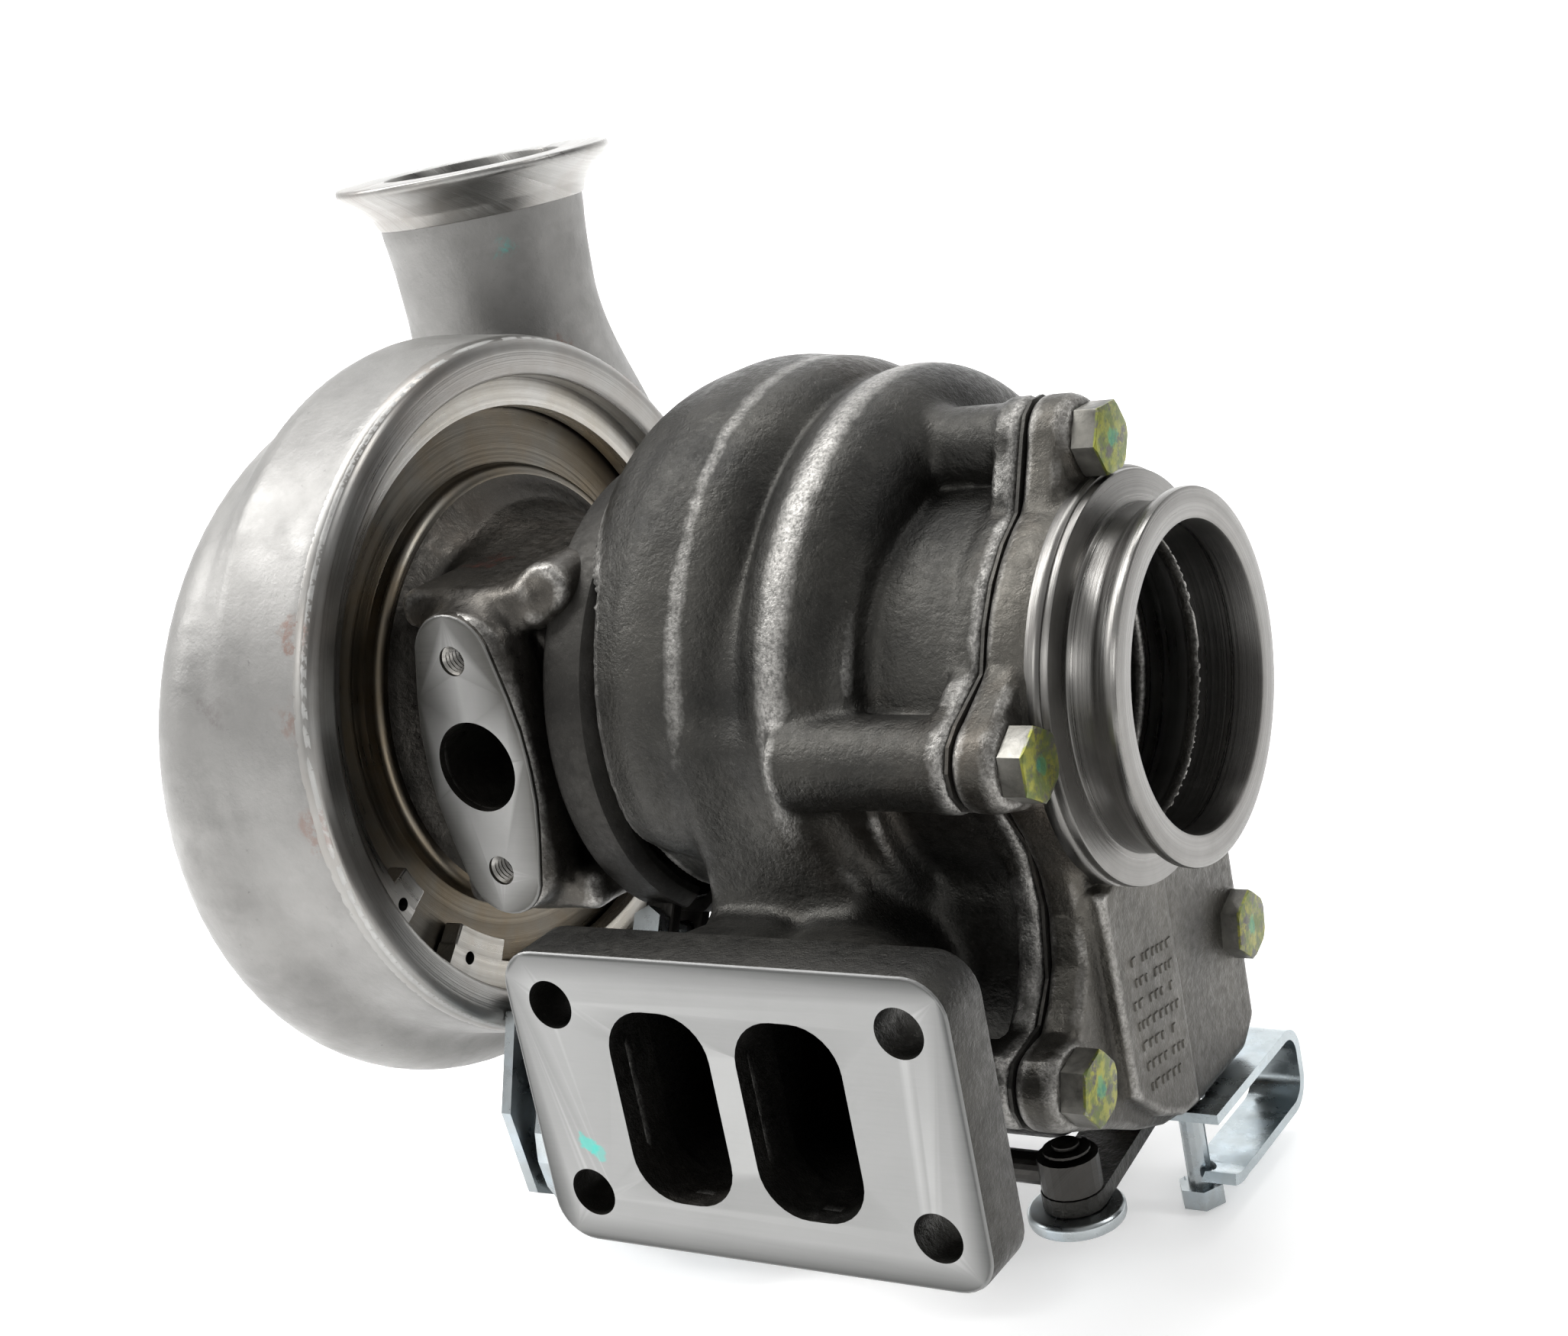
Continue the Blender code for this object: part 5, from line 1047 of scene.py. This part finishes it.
def v_band():
    """The V-band: a rolled ring split under the shaft, with a lug each side of the gap."""
    ring = lathe("v_band", [
        (-82.5, 51.8), (-81.0, 51.8), (-79.2, 54.4), (-70.8, 54.4), (-68.2, 52.0), (-66.8, 52.0), (-66.8, 54.2),
        (-69.5, 57.5), (-80.2, 57.5), (-82.5, 54.2),
    ], None, ring=True, ease=0.8)
    turn = Matrix.Rotation(math.radians(-31.0), 4, "X")
    place = Matrix.Translation(Vector((-75.0, *SHAFT)) * MM)
    split = prism("split", [(-3.6, -70.0), (3.6, -70.0), (3.6, -48.0), (-3.6, -48.0)], -9.0, 9.0)
    lugs = [bevel(prism("lug", [(low, -67.5), (low + 4.0, -67.5), (low + 4.0, -55.0), (low, -55.0)], -4.4, 4.4), 1.0, 3)
            for low in (-8.0, 4.0)]
    bores = [bar("bore", -12.0, 12.0, 2.9, "Y", (0, 0, -62.5), 32) for _ in lugs]
    for thing in [split] + lugs + bores:
        thing.data.transform(place @ turn)
    carve(ring, [split])
    for lug, bore in zip(lugs, bores):
        carve(lug, [bore])
    return merge(ring, lugs, BAND_STEEL)


def support_strap():
    """The bent zinc strap under the outlet cover, with rounded bends and one bolt hole."""
    top, bottom, near, far, thick = -56.3, -78.5, 118.0, 170.0, 2.6
    outer = [(near, top), (far - 8.0, top)] + arc((far - 8.0, top - 8.0), 8.0, 80, 0, 8)
    outer += arc((far - 8.0, bottom + 8.0), 8.0, 0, -90, 8) + [(136.0, bottom)]
    outer += arc((128.0, bottom + 14.0), 14.0, -80, -115, 5)
    inner = [(x + 0.9 if x < 136 else x, z + thick)
             for x, z in reversed(arc((128.0, bottom + 14.0), 14.0, -80, -115, 5))]
    inner += [(136.0, bottom + thick)] + arc((far - 8.0, bottom + 8.0), 8.0 - thick, -90, 0, 8)
    inner += arc((far - 8.0, top - 8.0), 8.0 - thick, 0, 90, 8) + [(near, top - thick)]
    sheet = prism("support_strap", outer + inner, 33.5, 47.0, "X")
    carve(sheet, [bar("hole", -90.0, -50.0, 4.3, "Z", (36.0, 126.0, 0), 40)])
    bevel(sheet, 0.5, 3)
    sheet.data.materials.append(STRAP_ZINC)
    return sheet


def pin_head():
    """The lever pin: a broad zinc head below the lever, a dark shank above it."""
    head = lathe("lever_pin_head", [(-67.7, 0.01), (-67.7, 9.2), (-66.9, 11.2), (-66.0, 11.5), (-64.2, 11.5), (-63.4, 10.8),
                                    (-63.3, 0.01)], ZINC, "Z", (25.0, 84.0, 0), 72, 0.3)
    shank = lathe("lever_pin_shank", [(-63.6, 0.01), (-63.6, 3.2), (-49.6, 3.2), (-49.6, 2.4), (-48.6, 2.4), (-48.6, 3.2),
                                      (-47.6, 3.2), (-47.4, 0.01)], ROD_STEEL, "Z", (25.0, 84.0, 0), 40, 0.1)
    return [head, shank]


def flat_faces(thing, finish_index=1):
    """Makes the faces of one finish shade flat."""
    for face in thing.data.polygons:
        if face.material_index == finish_index:
            face.use_smooth = False
    return thing


def put_finishes():
    """Every CAD node that is still shown takes the finish of its material slot."""
    by_slot = {"cast_iron": IRON, "cast_aluminium": ALUMINIUM, "machined_steel": STEEL, "zinc_plate": ZINC,
               "bronze": BRONZE, "rubber": RUBBER}
    special = {"outlet_gasket": GASKET, "oil_inlet_gasket": GASKET, "wastegate_lever": IRON, "rod_end": ROD_STEEL,
               "actuator_rod": ROD_STEEL, "rod_lock_nut": ROD_STEEL, "lever_pin_clip": ROD_STEEL}
    for name, thing in NODES.items():
        if thing.hide_render:
            continue
        slot = thing.data.materials[0].name.split(".")[0]
        thing.data.materials.clear()
        thing.data.materials.append(special.get(name, by_slot[slot]))


def put(things, body, node):
    """Makes pieces the looks of one node and ties them to its body."""
    for thing in things:
        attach(thing, body)
        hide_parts(node)


def hook_up():
    put([turbine_casting(), inlet_flange()], "housing", "turbine_housing")
    put(outlet_cover_pieces(), "housing", "outlet_cover")
    put([compressor_casting()] + compressor_rings(), "housing", "compressor_housing")
    put([snap_ring()], "housing", "housing_retaining_ring")
    put([bearing_casting()] + bearing_faces(), "housing", "bearing_housing")
    put([v_band()], "housing", "v_band_clamp")
    put([support_strap()], "housing", "support_bracket")
    put(pin_head(), "wastegate", "lever_pin")
    paints = ((0.2, 0.21, 0.03), (0.23, 0.23, 0.03), (0.25, 0.25, 0.035), (0.22, 0.21, 0.03))
    for number, (centre, turn, paint) in enumerate(zip(COVER_BOLTS, (0, 30, 12, 20), paints), 1):
        finish = marked_bolt(f"cover bolt steel {number}", paint, (47.4, *centre))
        put([hex_bolt(f"cover_bolt_{number}", centre, turn, finish)], "housing", f"outlet_cover_bolt_{number}")
    put_finishes()


hook_up()


# ---------------------------------------------------------------- camera, light and floor


def look_from(place, azimuth, elevation, roll, lens):
    """A camera that stands at a place in millimetres, turned by an azimuth, an elevation and a roll in degrees."""
    az, el, turn = (math.radians(v) for v in (azimuth, elevation, roll))
    back = Vector((math.sin(az) * math.cos(el), -math.cos(az) * math.cos(el), math.sin(el)))
    right = (-back).cross(Vector((0, 0, 1))).normalized()
    up = back.cross(right)
    right, up = right * math.cos(turn) + up * math.sin(turn), up * math.cos(turn) - right * math.sin(turn)
    matrix = Matrix((right, up, back)).transposed().to_4x4()
    matrix.translation = Vector(place) * MM
    data = bpy.data.cameras.new("camera")
    data.lens, data.sensor_width, data.sensor_fit = lens, 36.0, "HORIZONTAL"
    data.clip_start = 0.01
    camera = bpy.data.objects.new("camera", data)
    bpy.context.scene.collection.objects.link(camera)
    camera.matrix_world = matrix
    bpy.context.scene.camera = camera
    return camera


def light(name, place, target, size, power, colour=(1, 1, 1)):
    data = bpy.data.lights.new(name, "AREA")
    data.shape, data.size, data.size_y, data.energy, data.color = "RECTANGLE", size[0], size[1], power, colour
    lamp = bpy.data.objects.new(name, data)
    bpy.context.scene.collection.objects.link(lamp)
    lamp.location = Vector(place)
    lamp.rotation_euler = (Vector(target) - lamp.location).to_track_quat("-Z", "Y").to_euler()


def backdrop():
    """A pale floor that curves up into a wall behind the object, square to the camera's azimuth."""
    ground, reach, bend, top, half = -0.0852, 3.0, 1.5, 6.0, 12.0
    path = [(-8.0, ground), (reach, ground)]
    path += [(reach + bend * math.sin(t), ground + bend * (1 - math.cos(t))) for t in np.linspace(0.1, math.pi / 2, 16)]
    path.append((reach + bend, top))
    away = Vector((-math.sin(math.radians(35.0)), math.cos(math.radians(35.0)), 0))
    side = Vector((away.y, -away.x, 0))
    points = [away * along + Vector((0, 0, up)) + side * across for along, up in path for across in (-half, half)]
    faces = [(2 * i, 2 * i + 2, 2 * i + 3, 2 * i + 1) for i in range(len(path) - 1)]
    floor = make("floor", [p / MM for p in points], faces)
    pale = Shader("floor", 0.0)
    pale.finish(pale.mix(pale.noise(3.0), (0.9, 0.9, 0.9), (0.93, 0.93, 0.93)), 0.8, [(pale.noise(60.0), 0.02, 0.2)])
    pale.out.inputs["Emission Color"].default_value = (1.0, 1.0, 1.0, 1.0)
    pale.out.inputs["Emission Strength"].default_value = 0.35
    floor.data.materials.append(pale.made)


def studio():
    backdrop()
    sky = bpy.data.worlds.new("studio")
    sky.use_nodes = True
    tree = sky.node_tree
    place = tree.nodes.new("ShaderNodeTexCoord")
    toward = tree.nodes.new("ShaderNodeVectorMath")
    toward.operation = "DOT_PRODUCT"
    toward.inputs[1].default_value = Vector((-0.62, -0.35, 0.7)).normalized()
    tree.links.new(place.outputs["Generated"], toward.inputs[0])
    spread = tree.nodes.new("ShaderNodeMapRange")
    spread.inputs["From Min"].default_value = -0.5
    spread.inputs["From Max"].default_value = 0.75
    spread.inputs["To Min"].default_value = 0.08
    spread.inputs["To Max"].default_value = 0.8
    tree.links.new(toward.outputs["Value"], spread.inputs["Value"])
    tree.links.new(spread.outputs["Result"], tree.nodes["Background"].inputs["Strength"])
    tree.nodes["Background"].inputs["Color"].default_value = (1.0, 1.0, 1.0, 1.0)
    bpy.context.scene.world = sky
    middle = (-0.05, 0.09, 0.05)
    light("left_strip", (-1.15, -0.35, 1.5), middle, (0.3, 2.2), 42.0)
    light("front_fill", (-0.2, -1.4, 0.9), middle, (0.5, 0.5), 5.0)
    light("right_edge", (1.2, 0.5, 1.1), middle, (0.2, 0.8), 6.0)
    light("wall", (-0.6, 0.9, 2.6), (-1.9, 2.7, 1.0), (2.0, 2.0), 110.0)
    scene = bpy.context.scene
    scene.view_settings.view_transform = "Standard"
    scene.view_settings.look = "None"


studio()
look_from(place=(284.7, -358.0, 215.7), azimuth=35.11, elevation=15.34, roll=-11.28, lens=56.53)
